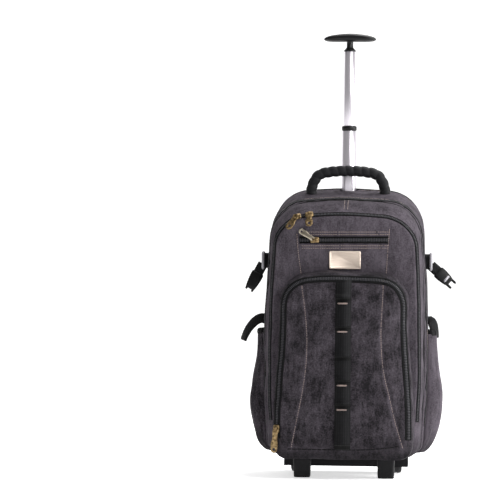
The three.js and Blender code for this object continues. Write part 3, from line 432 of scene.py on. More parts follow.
second_rows = [
    (second["back"], 4, 0, 0.5), (second["back"], 4, 0, 1), (second["back"] - 4, 0, 0, 1),
    (second["back"] - 22, -0.5, SECOND_FALL * 0.3, 1),
    (second["front"] + SECOND_BEVEL, 3, SECOND_FALL * 0.85, 1),
    (second["front"], second_face_edge, SECOND_FALL, 1),
    (second["front"], second_face_edge, SECOND_FALL, 0.02),
]
second_bag = cloth_shell("second_bag", second, second_rows, second_wrinkle)
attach(second_bag, "pack")
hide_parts("second_shell")

# Front pocket: its face is three panels joined by two curved seams, filled out and creased.
POCKET_FALL = 8
POCKET_BEVEL = 16
POCKET_CROWN = 10
POCKET_FOOT_SEAM = 57
pocket = FORMS["pocket"]
pocket_face = pocket["front"] + POCKET_CROWN
# The two curved seams: height above the floor, and distance of the left and right one from the middle
POCKET_SEAMS = [
    {"height": 366, "left": 77, "right": 71}, {"height": 345, "left": 75, "right": 71},
    {"height": 320, "left": 71, "right": 70}, {"height": 270, "left": 66, "right": 68},
    {"height": 225, "left": 66, "right": 70}, {"height": 190, "left": 69, "right": 75},
    {"height": 150, "left": 75, "right": 85}, {"height": 115, "left": 82, "right": 93},
    {"height": 84, "left": 88, "right": 102}, {"height": 58, "left": 93, "right": 110},
]
seam_heights = [row["height"] for row in POCKET_SEAMS][::-1]
seam_lines = {
    side: [sign * row[side] for row in POCKET_SEAMS][::-1] for side, sign in (("left", -1), ("right", 1))
}


def seam_x(side, height):
    return float(np.interp(height, seam_heights, seam_lines[side]))


def pocket_wrinkle(place, normal):
    facing = max(-normal.y, 0)
    sideways = abs(normal.x)
    lift = 1.9 * wave(place, 58, shift=2) + 0.9 * wave(place, 24, (1, 1, 0.8), 7)
    fold = creases(place, 44, 1.7, (0.7, 1, 1.3), 5) * (1 - sideways)
    fold += creases(place, 22, 2.4, (1, 1, 0.2), 8) * sideways
    lift += fold
    rub = 0.16 * wave(place, 26, shift=13) - 0.1 * fold
    for side in ("left", "right"):
        away = abs(place.x - seam_x(side, place.z))
        pucker = near(away, 14) * facing
        lift -= 2.2 * near(away, 6) * facing
        lift += 0.7 * pucker * math.sin(place.z / 2.6 + 2 * wave(place, 20))
        rub += 0.35 * near(away, 5) * facing
    edge = near(place.z - POCKET_FOOT_SEAM, 10)
    lift -= 1.5 * edge * facing
    lift += 1.3 * near(place.z - 78, 26) * facing * math.sin(place.x / 9 + 3 * wave(place, 40))
    return min(lift, 2.4), rub + 0.2 * edge


pocket_rows = [
    (pocket["back"], 3, 0, 0.5), (pocket["back"], 3, 0, 1), (pocket["back"] - 3, 0, 0, 1),
    (pocket["back"] - 16, -1, POCKET_FALL * 0.4, 1),
    (pocket_face + POCKET_BEVEL * 0.7, 0, POCKET_FALL * 0.7, 1),
    (pocket_face, POCKET_BEVEL, POCKET_FALL, 1),
    (pocket_face - POCKET_CROWN * 0.42, POCKET_BEVEL, POCKET_FALL, 0.86),
    (pocket_face - POCKET_CROWN * 0.66, POCKET_BEVEL, POCKET_FALL, 0.72),
    (pocket_face - POCKET_CROWN * 0.86, POCKET_BEVEL, POCKET_FALL, 0.5),
    (pocket_face - POCKET_CROWN * 0.97, POCKET_BEVEL, POCKET_FALL, 0.25),
    (pocket_face - POCKET_CROWN, POCKET_BEVEL, POCKET_FALL, 0.02),
]
pocket_bag = cloth_shell("pocket_bag", pocket, pocket_rows, pocket_wrinkle)
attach(pocket_bag, "pack")
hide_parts("front_pocket")

# Zips: woven nylon tape sewn behind the edges of the cloth, with a dark coil down its middle. Each
# follows the seam that it closes.
# Nylon tape: close woven and black, so it is matt and shows only a faint thread
tape_material = grained(
    "woven_nylon_zip_tape", 700.0, dyes=("020202", "0e0e10"), bump=(0.3, 0.3),
    Base_Color=linear("1b1a1e"), Roughness=0.78, Sheen_Weight=0.04, Specular_IOR_Level=0.1,
)
# Polyester coil: drawn filament, smooth enough for a small glint on each turn
coil_material = grained(
    "polyester_zip_coil", 90.0, 3.0, rough=(0.32, 0.6), Base_Color=linear("26252a"), Roughness=0.42, IOR=1.5,
)


def surface_of(piece):
    """A search tree of a piece's surface, in mm."""
    mesh = piece.data
    return BVHTree.FromPolygons([v.co / MM for v in mesh.vertices], [p.vertices[:] for p in mesh.polygons])


def even_line(knots, spacing=4.0):
    """A smooth line through knots, as evenly spaced points."""
    knots = np.array(knots, float)
    ends = np.vstack([2 * knots[0] - knots[1], knots, 2 * knots[-1] - knots[-2]])
    fine = []
    for a, b, c, d in zip(ends, ends[1:], ends[2:], ends[3:]):
        t = np.linspace(0, 1, 24, endpoint=False)[:, None]
        fine.append(0.5 * (2 * b + (c - a) * t + (2 * a - 5 * b + 4 * c - d) * t ** 2
                           + (3 * b - a - 3 * c + d) * t ** 3))
    fine = np.vstack(fine + [knots[-1:]])
    length = np.concatenate([[0], np.cumsum(np.linalg.norm(np.diff(fine, axis=0), axis=1))])
    count = max(int(length[-1] / spacing), 2)
    places = np.linspace(0, length[-1], count + 1)
    return np.column_stack([np.interp(places, length, fine[:, k]) for k in range(fine.shape[1])])


def from_front(tree, knots, spacing=4.0):
    """A line drawn on a surface by (x, z) knots, seen from the front: points and normals."""
    line = []
    for x, z in even_line(knots, spacing):
        hit, normal, _, _ = tree.ray_cast(Vector((x, -300, z)), Vector((0, 1, 0)))
        if hit is not None:
            line.append((hit, normal if normal.y < 0 else -normal))
    return line


def round_arch(tree, form, y, inset, drop, lowest, count=420):
    """A line round the arch of a form, down to the height lowest on both sides: points, normals."""
    ring = arch_line(form, inset, drop, count)
    keep = [(x, y, z) for x, z in ring if z > lowest]
    keep = keep[len(keep) // 2:] + keep[:len(keep) // 2] if keep[0][0] * keep[-1][0] > 0 else keep
    line = []
    for place in keep:
        hit, normal, _, _ = tree.find_nearest(Vector(place))
        line.append((hit, normal))
    return line


def evened(line, reach=4):
    """The line with its points and normals averaged over their neighbours."""
    points = np.array([p for p, _ in line])
    normals = np.array([n for _, n in line])
    kernel = np.ones(2 * reach + 1) / (2 * reach + 1)
    out = []
    for values, hold in ((points, True), (normals, False)):
        wide = np.pad(values, ((reach, reach), (0, 0)), mode="reflect",
                      reflect_type="odd" if hold else "even")
        out.append(np.column_stack([np.convolve(wide[:, k], kernel, "valid") for k in range(3)]))
    return [(Vector(p), Vector(n).normalized()) for p, n in zip(*out)]


def strip(name, line, width, heights, material, sink=1.2, tree=None):
    """A closed flat strip along a line; heights are (share across from -1 to 1, rise in mm)."""
    count = len(line)
    points, faces = [], []
    section = len(heights) * 2
    for i, (place, normal) in enumerate(line):
        along = (line[min(i + 1, count - 1)][0] - line[max(i - 1, 0)][0]).normalized()
        across = normal.cross(along).normalized()
        tops, unders = [], []
        for share, rise in heights:
            spot = place + across * (share * width / 2)
            if tree is not None:
                hit, hit_normal, _, _ = tree.find_nearest(spot)
                spot = spot + normal * (hit - spot).dot(normal)
            tops.append(spot + normal * rise)
            unders.append(spot - normal * sink)
        points += tops + unders[::-1]
    for i in range(count - 1):
        for k in range(section):
            a, b = i * section + k, i * section + (k + 1) % section
            faces.append((a, b, b + section, a + section))
    for start, flip in ((0, 1), ((count - 1) * section, -1)):
        for k in range(len(heights) - 1):
            faces.append((start + k, start + k + 1, start + section - 2 - k, start + section - 1 - k)[::flip])
    return build(name, [p * MM for p in points], faces, material)


def coil(name, line, width, pitch, rise, material=coil_material):
    """The coil of a zip: one oval bead across the tape for each turn, joined in one mesh."""
    points, faces = [], []
    travelled, last = 0.0, None
    sides, rings = 6, ((-1, 0.25), (-0.55, 1), (0.0, 0.8), (0.55, 1), (1, 0.25))
    for i in range(1, len(line)):
        a, b = line[i - 1], line[i]
        step = (b[0] - a[0]).length
        while travelled + step >= pitch:
            share = (pitch - travelled) / step
            place = a[0].lerp(b[0], share)
            normal = a[1].lerp(b[1], share).normalized()
            along = (b[0] - a[0]).normalized()
            across = normal.cross(along).normalized()
            base = len(points)
            for reach, swell in rings:
                for k in range(sides):
                    turn = math.tau * k / sides
                    points.append(
                        place + across * (reach * width / 2)
                        + normal * (rise * swell * (0.55 + 0.45 * math.sin(turn)))
                        + along * (pitch * 0.36 * swell * math.cos(turn))
                    )
            for r in range(len(rings) - 1):
                for k in range(sides):
                    p, q = base + r * sides + k, base + r * sides + (k + 1) % sides
                    faces.append((p, q, q + sides, p + sides))
            faces.append(tuple(base + k for k in range(sides))[::-1])
            faces.append(tuple(base + (len(rings) - 1) * sides + k for k in range(sides)))
            a = (place, normal)
            step = (b[0] - place).length
            travelled = 0.0
            if step < 1e-9:
                break
        travelled += step
    return build(name, [p * MM for p in points], faces, material)


main_surface, second_surface, pocket_surface = map(surface_of, (main_bag, second_bag, pocket_bag))


def between_rows(row_a, row_b, share):
    """The (y, inset, drop) a share of the way between two profile rows."""
    return [row_a[k] + (row_b[k] - row_a[k]) * share for k in range(3)]


def lay_zip(cad_node, line, width, section, tree, lift, coil_width, pitch, rise):
    """A zip's tape along a line, and its coil lifted off the line by lift."""
    tape = strip(cad_node + "_tape", line, width, section, tape_material, tree=tree)
    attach(tape, "pack")
    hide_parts(cad_node)
    turns = coil(cad_node + "_coil", [(p + n * lift, n) for p, n in line], coil_width, pitch, rise)
    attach(turns, "pack")


MAIN_ZIP = {"setback": 12.5, "width": 9, "low": 92}
main_zip_row = (main["front"] + MAIN_ZIP["setback"], 0.1, MAIN_FALL * 0.9)
main_zip_line = evened(round_arch(main_surface, main, *main_zip_row, MAIN_ZIP["low"]))
# across each tape: share from the middle to the edge, rise in mm
RIB = [(-1, 0.2), (-0.9, 0.9), (-0.45, 0.9), (-0.3, 0.5), (0.3, 0.5), (0.45, 0.9), (0.9, 0.9), (1, 0.2)]
lay_zip("main_zip", main_zip_line, MAIN_ZIP["width"], RIB, main_surface, 0.5, 4.4, 2.6, 1.3)

SECOND_ZIP = {"width": 8.6, "low": 105}
second_zip_row = between_rows(second_rows[4], second_rows[5], 0.47)
second_zip_line = evened(round_arch(second_surface, second, *second_zip_row, SECOND_ZIP["low"]))
lay_zip("second_zip", second_zip_line, SECOND_ZIP["width"], RIB, second_surface, 0.5, 4.2, 2.6, 1.3)

FRONT_ZIP = {"width": 14.5, "low": 74}
front_zip_row = between_rows(pocket_rows[4], pocket_rows[5], 0.48)
front_zip_line = evened(round_arch(pocket_surface, pocket, *front_zip_row, FRONT_ZIP["low"]))
lay_zip("front_zip", front_zip_line, FRONT_ZIP["width"], RIB, pocket_surface, 0.5, 6.0, 2.9, 1.6)

# The short zip across the second compartment's face: a coarser coil laid bare between two folded
# edges of cloth, so that its turns show.
POCKET_ZIP = {"left": -POCKET_ZIP_HALF, "right": 79, "tilt": 1.5}
low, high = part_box("pocket_zip")
pocket_zip_height = (high.z - low.z) / MM
pocket_zip_knots = [
    (POCKET_ZIP["left"], pocket_zip_middle), (0, pocket_zip_middle + POCKET_ZIP["tilt"] / 2),
    (POCKET_ZIP["right"], pocket_zip_middle + POCKET_ZIP["tilt"]),
]
pocket_zip_line = evened(from_front(second_surface, pocket_zip_knots))
FOLDED = [(-1, 1.4), (-0.86, 1.5), (-0.78, 0.35), (0.78, 0.35), (0.86, 1.5), (1, 1.4)]
lay_zip("pocket_zip", pocket_zip_line, pocket_zip_height, FOLDED, second_surface, 0.3, 6.8, 3.0, 1.5)

# Stitching: thick tan thread, one stitch about every 4 mm, in single and double rows along the
# seams. Each stitch is a short waxed capsule that sits on the cloth.
thread_material = grained(
    "tan_sewing_thread", 60.0, dyes=("5f5350", "938079"), Base_Color=linear("8a766c"), Roughness=0.7,
    Sheen_Weight=0.2,
)
STITCH = {"pitch": 4.2, "long": 3.3, "wide": 1.25, "proud": 0.55}


def sew(name, lines, material=thread_material, pitch=STITCH["pitch"], long=STITCH["long"],
        wide=STITCH["wide"], proud=STITCH["proud"]):
    """Rows of stitches along lines, joined in one mesh."""
    points, faces = [], []
    sides = 6
    for line in lines:
        gap = 0.0
        for (a, na), (b, nb) in zip(line, line[1:]):
            step = (b - a).length
            gap += step
            if gap < pitch or step > 3 * pitch:
                continue
            gap -= pitch
            along, normal = (b - a).normalized(), (na + nb).normalized()
            across = normal.cross(along).normalized()
            base = len(points)
            for end, swell in ((-0.5, 0.15), (-0.36, 0.85), (0.36, 0.85), (0.5, 0.15)):
                for k in range(sides):
                    turn = math.tau * k / sides
                    points.append(
                        b + along * (end * long) + across * (math.cos(turn) * swell * wide / 2)
                        + normal * (math.sin(turn) * swell * proud * 0.9 + proud * 0.35)
                    )
            for r in range(3):
                for k in range(sides):
                    p, q = base + r * sides + k, base + r * sides + (k + 1) % sides
                    faces.append((p, q, q + sides, p + sides))
            faces.append(tuple(base + k for k in range(sides))[::-1])
            faces.append(tuple(base + 3 * sides + k for k in range(sides)))
    piece = build(name, [p * MM for p in points], faces, material)
    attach(piece, "pack")
    return piece


def finer(line, spacing=1.4):
    """The line with points put in between, spacing apart."""
    out = [line[0]]
    for (a, na), (b, nb) in zip(line, line[1:]):
        parts = max(int((b - a).length / spacing), 1)
        out += [(a.lerp(b, k / parts), na.lerp(nb, k / parts).normalized()) for k in range(1, parts + 1)]
    return out


TUBE_CLEAR = 18
main_seams = [
    finer(evened(round_arch(main_surface, main, main["front"] + 21, -0.2, MAIN_FALL * 0.8, MAIN_ZIP["low"]))),
]
# the row behind stops at the tube on both sides
back_row = finer(evened(round_arch(main_surface, main, main["back"] - 11, -0.2, MAIN_FALL * 0.07, 80)))
for side in (-1, 1):
    main_seams.append([place for place in back_row if place[0].x * side > TUBE_CLEAR])
sew("main_stitching", main_seams)
second_seams = [finer(from_front(second_surface, row["route"])) for row in SECOND_FACE_SEAMS]
for above in (10.0, 14.5, -10.5, -15.0):
    line = [(x, z + above) for x, z in pocket_zip_knots]
    second_seams.append(finer(from_front(second_surface, line)))
TOP_ROWS_APART = 6.4
for x in (-TOP_ROWS_APART / 2, TOP_ROWS_APART / 2):
    top_line = []
    for y in np.linspace(second["back"] - 3, second["front"] + 14, 30):
        hit, normal, _, _ = second_surface.ray_cast(Vector((x, y, 700)), Vector((0, 0, -1)))
        top_line.append((hit, normal))
    second_seams.append(finer(top_line))
sew("second_stitching", second_seams)
pocket_seams = []
for side in ("left", "right"):
    pocket_seams.append(finer(from_front(pocket_surface, [(seam_x(side, z), z) for z in seam_heights])))
sew("pocket_stitching", pocket_seams)
# the seam at the foot is a dark one, which climbs a little towards the right
foot_rises = [(-102, 0), (-50, 0), (0, 0), (40, 0.5), (74, 3.5), (102, 8)]
foot_seam = finer(from_front(pocket_surface, [(x, POCKET_FOOT_SEAM + rise) for x, rise in foot_rises]))
sew("pocket_foot_seam", [foot_seam], tape_material, pitch=2.6, long=3.4, wide=2.6, proud=0.5)

# Webbing down the middle of the front pocket: black woven polyester, sewn down at seven tacks and
# slack between them, so that each loop stands off the cloth just above the next tack.
webbing_material, webbing = new_material(
    "black_polyester_webbing", Base_Color=linear("17171a"), Roughness=0.7, Sheen_Weight=0.04,
    Specular_IOR_Level=0.12,
)
webbing_place = node(webbing_material, "ShaderNodeTexCoord")
RIB_MM = 2.6  # real ribs are 1.4 mm apart
webbing_waves = [
    node(webbing_material, "ShaderNodeTexWave", [("Vector", webbing_place, "Object")],
         wave_type="BANDS", bands_direction=axis, Scale=math.tau / (size * MM) / 20, Distortion=0.4)
    for axis, size in (("Z", RIB_MM), ("X", RIB_MM * 1.6))
]
webbing_ribs = node(webbing_material, "ShaderNodeMath",
                    [(0, webbing_waves[0], "Fac"), (1, webbing_waves[1], "Fac")], operation="MULTIPLY")
webbing_blotch = node(webbing_material, "ShaderNodeTexNoise", [("Vector", webbing_place, "Object")],
                      Scale=120.0, Detail=4.0)
webbing_tone = node(webbing_material, "ShaderNodeMath",
                    [(0, webbing_ribs, 0), (1, webbing_blotch, "Fac")], operation="MULTIPLY")
webbing_dye = node(webbing_material, "ShaderNodeMixRGB", [("Fac", webbing_tone, 0)])
webbing_dye.inputs["Color1"].default_value = linear("060607")
webbing_dye.inputs["Color2"].default_value = linear("242327")
# painted shade: where the "fold" attribute is set, the webbing is painted near black
webbing_painted_shade_mask = node(webbing_material, "ShaderNodeAttribute", attribute_name="fold")
webbing_shade = node(webbing_material, "ShaderNodeMixRGB", [("Fac", webbing_painted_shade_mask, "Fac"),
                                                            ("Color1", webbing_dye, "Color")])
webbing_shade.inputs["Color2"].default_value = linear("020202")
link(webbing_material, webbing_shade, "Color", webbing, "Base Color")
webbing_bump = node(webbing_material, "ShaderNodeBump", [("Height", webbing_ribs, 0)],
                    Strength=0.5, Distance=0.5 * MM)
link(webbing_material, webbing_bump, "Normal", webbing, "Normal")

low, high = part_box("daisy_webbing")
DAISY = {"wide": (high.x - low.x) / MM, "thick": 2.0}
DAISY_TACKS = [365, 322, 271, 217, 174, 130, 57]
# down each loop: share of the way, rise above the cloth in mm; the last ones are below its lip
DAISY_LOOP = [(0.03, 0.4), (0.3, 1.4), (0.6, 3.0)]
DAISY_LIP = [(15, 5.4), (11, 7.2), (8.6, 7.0), (8.2, 5.0), (9.6, 2.4), (9.0, 0.9), (5.5, 0.5), (0, 0.4)]


def cloth_front(z):
    hits = [pocket_surface.ray_cast(Vector((x, -300, z)), Vector((0, 1, 0)))[0] for x in (-13, 0, 13)]
    return min(hit.y if hit is not None else pocket["back"] for hit in hits)


daisy_knots = [(cloth_front(DAISY_TACKS[0]) - 0.4, DAISY_TACKS[0])]
for top, bottom in zip(DAISY_TACKS, DAISY_TACKS[1:]):
    loop = [(top + (bottom - top) * share, rise) for share, rise in DAISY_LOOP]
    loop += [(bottom + above, rise) for above, rise in DAISY_LIP]
    for z, rise in loop:
        daisy_knots.append((cloth_front(z) - rise, z))
daisy_line = [Vector((0, y, z)) for y, z in even_line(daisy_knots, 1.6)]
daisy_points, daisy_faces = [], []
for i, place in enumerate(daisy_line):
    along = (daisy_line[min(i + 1, len(daisy_line) - 1)] - daisy_line[max(i - 1, 0)]).normalized()
    outward = Vector((1, 0, 0)).cross(along).normalized()
    half = DAISY["wide"] / 2
    for x, rise in ((-half, 0.3), (-half + 0.8, 1), (half - 0.8, 1), (half, 0.3), (half, 0), (-half, 0)):
        daisy_points.append((place + Vector((x, 0, 0)) + outward * (rise * DAISY["thick"] * 0.8)) * MM)
for i in range(len(daisy_line) - 1):
    for k in range(6):
        a, b = i * 6 + k, i * 6 + (k + 1) % 6
        daisy_faces.append((a, b, b + 6, a + 6))
daisy_faces += [tuple(range(6))[::-1], tuple(range(len(daisy_points) - 6, len(daisy_points)))]
daisy = build("daisy_webbing_woven", daisy_points, daisy_faces, webbing_material)
# the mouth of each loop, this far above its tack in mm, is painted near black: painted shade
PAINTED_SHADE_FROM, PAINTED_SHADE_TO = 1.2, 10.5
under_lip = []
for point in daisy_points:
    above = min((point[2] / MM - tack for tack in DAISY_TACKS[1:] if point[2] / MM > tack - 1), default=99)
    under_lip.append(1.0 if PAINTED_SHADE_FROM < above < PAINTED_SHADE_TO else 0.0)
daisy.data.attributes.new("fold", "FLOAT", "POINT").data.foreach_set("value", under_lip)
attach(daisy, "pack")
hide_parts("daisy_webbing")
tack_lines = []
TACK = {"long": 19.5, "middle": -1.5, "rows": (-0.6, 0.6)}
for z in [DAISY_TACKS[k] for k in (1, 2, 4, 5)]:
    for row in TACK["rows"]:
        y = cloth_front(z) - 0.6 - DAISY["thick"]
        tack_lines.append([
            (Vector((x, y, z + row)), Vector((0, -1, 0))) for x in (TACK["middle"] - 10.5, TACK["middle"])
        ])
sew("webbing_tacks", tack_lines, pitch=10, long=TACK["long"], wide=1.7, proud=1.0)

# Name plate: a small cast plate with a raised rim, satin nickel, left bare. It lies flat on the
# cloth and leans with it.
# Satin nickel: brushed along the plate, so its shine is drawn out in fine level streaks
nickel_material = grained(
    "satin_nickel_plate", 1.0, 3.0, dyes=("c9b8a8", "f2e4d8"), bump=(0.25, 0.2), stretch=(60, 400, 900),
    Base_Color=linear("d6cab6"), Metallic=1.0, Roughness=0.52,
)


def rounded(width, height, corner, steps=6):
    """A rounded rectangle as (u, v) points about its middle."""
    corner = min(corner, width / 2 - 0.01, height / 2 - 0.01)
    out = []
    for quarter, (sx, sy) in enumerate(((1, 1), (-1, 1), (-1, -1), (1, -1))):
        for k in range(steps + 1):
            turn = math.pi / 2 * (quarter + k / steps)
            out.append((sx * (width / 2 - corner) + corner * math.cos(turn),
                        sy * (height / 2 - corner) + corner * math.sin(turn)))
    return out


def stack(name, rings, material, closed=False):
    """A closed mesh through rings of equally many points; closed joins the last to the first."""
    count = len(rings[0])
    points = [p for ring in rings for p in ring]
    faces = []
    last = len(rings) if closed else len(rings) - 1
    for r in range(last):
        for i in range(count):
            j, s = (i + 1) % count, (r + 1) % len(rings)
            faces.append((r * count + i, r * count + j, s * count + j, s * count + i))
    if not closed:
        faces.append(tuple(range(count))[::-1])
        faces.append(tuple((len(rings) - 1) * count + i for i in range(count)))
    return build(name, [Vector(p) * MM for p in points], faces, material)


low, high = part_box("name_plate")
plate_wide, plate_high = (high.x - low.x) / MM, (high.z - low.z) / MM
plate_z = (low.z + high.z) / 2 / MM
PLATE = {"thick": 2.2, "rim": 2.2, "sunk": 0.8, "corner": 2.5}
seats = []
for z in (plate_z - plate_high / 2, plate_z + plate_high / 2):
    hits = [second_surface.ray_cast(Vector((x, -300, z)), Vector((0, 1, 0)))[0].y
            for x in np.linspace(-plate_wide / 2, plate_wide / 2, 9)]
    seats.append(min(hits))
plate_rings = []
for inset, rise in ((0.4, -0.2), (0, 0.2), (0, PLATE["thick"] - 0.6), (0.6, PLATE["thick"]),
                    (PLATE["rim"], PLATE["thick"]), (PLATE["rim"] + 0.5, PLATE["thick"] - PLATE["sunk"])):
    ring = []
    for u, v in rounded(plate_wide - 2 * inset, plate_high - 2 * inset, PLATE["corner"]):
        lean = seats[0] + (seats[1] - seats[0]) * (v / plate_high + 0.5)
        ring.append((u, lean - 0.1 - rise, plate_z + v))
    plate_rings.append(ring)
plate = stack("bare_plate", plate_rings, nickel_material)
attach(plate, "pack")
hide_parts("name_plate")

# Sliders and pulls: die-cast zinc plated in antique brass, its tone blotched bright and dark at
# random. A wide body runs on the coil, and the pull hangs from a bridge over it.
brass_material, brass = new_material(
    "antique_brass_plating", Base_Color=linear("8a6a35"), Metallic=1.0, Roughness=0.42,
)
brass_place = node(brass_material, "ShaderNodeTexCoord")
brass_blotch = node(brass_material, "ShaderNodeTexNoise", [("Vector", brass_place, "Object")],
                    Scale=240.0, Detail=4.0)
brass_tint = node(brass_material, "ShaderNodeValToRGB", [("Fac", brass_blotch, "Fac")])
brass_tint.color_ramp.elements[0].position = 0.3
brass_tint.color_ramp.elements[0].color = linear("3b2f20")
brass_tint.color_ramp.elements[1].position = 0.66
brass_tint.color_ramp.elements[1].color = linear("957f5c")
link(brass_material, brass_tint, "Color", brass, "Base Color")
brass_bump = node(brass_material, "ShaderNodeBump", [("Height", brass_blotch, "Fac")],
                  Strength=0.3, Distance=0.3 * MM)
link(brass_material, brass_bump, "Normal", brass, "Normal")
# Nickel link: the plating is rubbed, so bright and dull places lie side by side
pale_material = grained(
    "worn_nickel_link", 300.0, rough=(0.2, 0.5), Base_Color=linear("a59c8c"), Metallic=1.0, Roughness=0.3,
)


def joined(name, parts):
    """Several objects as one mesh under one name."""
    bpy.ops.object.select_all(action="DESELECT")
    for part in parts:
        part.select_set(True)
    bpy.context.view_layer.objects.active = parts[0]
    bpy.ops.object.join()
    parts[0].name = parts[0].data.name = name
    return parts[0]


def pull_plate(name, frame_of, outline, hole, thick, material):
    """A flat plate with a hole; outline and hole are (u, v) points, frame_of(u, v, w) a place."""
    rings = []
    for edge, (scale, rise) in (
        (outline, (0.93, -1)), (outline, (1, -0.6)), (outline, (1, 0.6)), (outline, (0.93, 1)),
        (hole, (1.12, 1)), (hole, (1, 0.6)), (hole, (1, -0.6)), (hole, (1.12, -1)),
    ):
        middle = np.mean(edge, axis=0)
        rings.append([frame_of(*(middle + (np.array(p) - middle) * scale), rise * thick / 2) for p in edge])
    return stack(name, rings, material, closed=True)


def drop_outline(length, top_wide, low_wide, count=32):
    """A pull's outline from its hinge at 0 down to length: narrow waist, round lower end."""
    profile = [(0, 0.6), (0.04, 0.95), (0.14, 1.0), (0.24, 0.95), (0.4, 0.86), (0.6, 1.0)]
    side = []
    for down, share in profile:
        wide = top_wide if down < 0.3 else np.interp(down, (0.3, 0.6), (top_wide, low_wide))
        side.append((wide / 2 * share, down * length))
    radius = low_wide / 2
    for turn in np.radians(np.linspace(0, 90, 7)[1:]):
        side.append((radius * math.cos(turn), length - radius + radius * math.sin(turn)))
    ring = side + [(-x, y) for x, y in side[-2::-1]]
    ring = np.array(ring + [ring[0]])
    run = np.concatenate([[0], np.cumsum(np.hypot(*np.diff(ring, axis=0).T))])
    places = np.linspace(0, run[-1], count, endpoint=False)
    return [(np.interp(p, run, ring[:, 0]), -np.interp(p, run, ring[:, 1])) for p in places]


def matched_hole(outline, centre, wide, tall):
    """A hole with as many points as the outline, each at the same turn about the hole's centre."""
    out = []
    for u, v in outline:
        turn = math.atan2(v - centre[1], u - centre[0])
        out.append((centre[0] + wide / 2 * math.cos(turn), centre[1] + tall / 2 * math.sin(turn)))
    return out


def slider(name, cad_node, place, normal, along, hang, long, wide, pull_long, pull_wide,
           pull=brass_material):
    """A slider with its bridge and pull; hang is the direction in which the pull lies."""
    along = (along - normal * along.dot(normal)).normalized()
    across = normal.cross(along).normalized()
    parts = []
    rings = []
    for rise, shrink in ((0.2, 0.94), (0.9, 1.0), (3.0, 1.0), (4.0, 0.9), (4.3, 0.7)):
        ring = []
        for u, v in rounded(long * shrink, wide * shrink, wide * 0.28, 5):
            waist = 1 - 0.2 * near(u - long * 0.12, long * 0.4)
            ring.append(place + along * u + across * v * waist + normal * rise)
        rings.append(ring)
    parts.append(stack(name + "_body", rings, brass_material))
    bridge = []
    for k in range(13):
        turn = math.pi * k / 12
        middle = place + along * (math.cos(turn) * long * 0.3) + normal * (4.0 + 3.2 * math.sin(turn))
        outward = along * math.cos(turn) + normal * math.sin(turn)
        bridge.append([middle + across * (u * 1.9) + outward * (v * 0.8) for u, v in
                       ((1, 1), (0, 1.25), (-1, 1), (-1.1, 0), (-1, -1), (0, -1), (1, -1), (1.1, 0))])
    parts.append(stack(name + "_bridge", bridge, brass_material))
    hang = (hang - normal * hang.dot(normal)).normalized()
    side = normal.cross(hang).normalized()
    start = place + normal * 6.4

    def frame_of(u, v, w):
        sag = -min(-v / pull_long, 1) * 2.6
        return start + side * u - hang * v + normal * (w + sag)

    outline = drop_outline(pull_long, pull_wide * 0.78, pull_wide)
    end_hole = matched_hole(outline, (0, -pull_long + pull_wide * 0.52), pull_wide * 0.4, pull_wide * 0.42)
    parts.append(pull_plate(name + "_pull", frame_of, outline, end_hole, 2.0, pull))
    loop = []
    for k in range(17):
        turn = math.tau * k / 16
        down = 1.5 - pull_wide * 0.28 * (1 + math.sin(turn))
        middle = frame_of(pull_wide * 0.33 * math.cos(turn), down, 0.8)
        outward = (side * math.cos(turn) - hang * math.sin(turn)).normalized()
        loop.append([middle + outward * math.cos(a) * 1.0 + normal * math.sin(a) * 1.0
                     for a in np.linspace(0, math.tau, 8, endpoint=False)])
    parts.append(stack(name + "_loop", loop[:-1], brass_material, closed=True))
    piece = joined(name, parts)
    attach(piece, "pack")
    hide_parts(cad_node)
    return piece


def hung(tilt):
    """The direction straight down, turned by tilt degrees towards the bag's left."""
    turn = math.radians(tilt)
    return Vector((-math.sin(turn), 0, -math.cos(turn)))


def on_line(line, x):
    """The point, normal and direction of a zip's line where it passes x, on its upper part."""
    best = min((i for i in range(1, len(line) - 1) if line[i][0].z > pocket_zip_middle),
               key=lambda i: abs(line[i][0].x - x))
    return line[best][0], line[best][1], (line[best + 1][0] - line[best - 1][0]).normalized()


SECOND_SLIDERS = [
    {"name": "second_left", "x": -88, "tilt": 22, "pull_long": 32, "pull_wide": 14},
    {"name": "second_right", "x": -66, "tilt": -3, "pull_long": 29, "pull_wide": 13.5},
]
for row in SECOND_SLIDERS:
    place, normal, along = on_line(second_zip_line, row["x"])
    slider("brass_slider_" + row["name"], "slider_" + row["name"], place + normal * 1.2, normal,
           along, hung(row["tilt"]), 15, 11.5, row["pull_long"], row["pull_wide"])
pocket_place, pocket_normal = min(pocket_zip_line, key=lambda item: abs(item[0].x + 55))
slider("brass_slider_pocket", "slider_pocket", pocket_place + pocket_normal * 1.4, pocket_normal,
       Vector((1, 0, 0)), hung(123), 16, 11, 34, 10.5, pull=pale_material)
front_low = [i for i in range(1, len(front_zip_line) - 1) if front_zip_line[i][0].x < 0]
front_at = min(front_low, key=lambda i: abs(front_zip_line[i][0].z - 92))
front_place, front_normal = front_zip_line[front_at]
front_along = (front_zip_line[front_at + 1][0] - front_zip_line[front_at - 1][0]).normalized()
front_facing = (front_normal + Vector((0, -1.2, 0))).normalized()
slider("brass_slider_front", "slider_front", front_place + front_normal * 1.6, front_facing,
       front_along, hung(6), 15, 12, 44, 13)

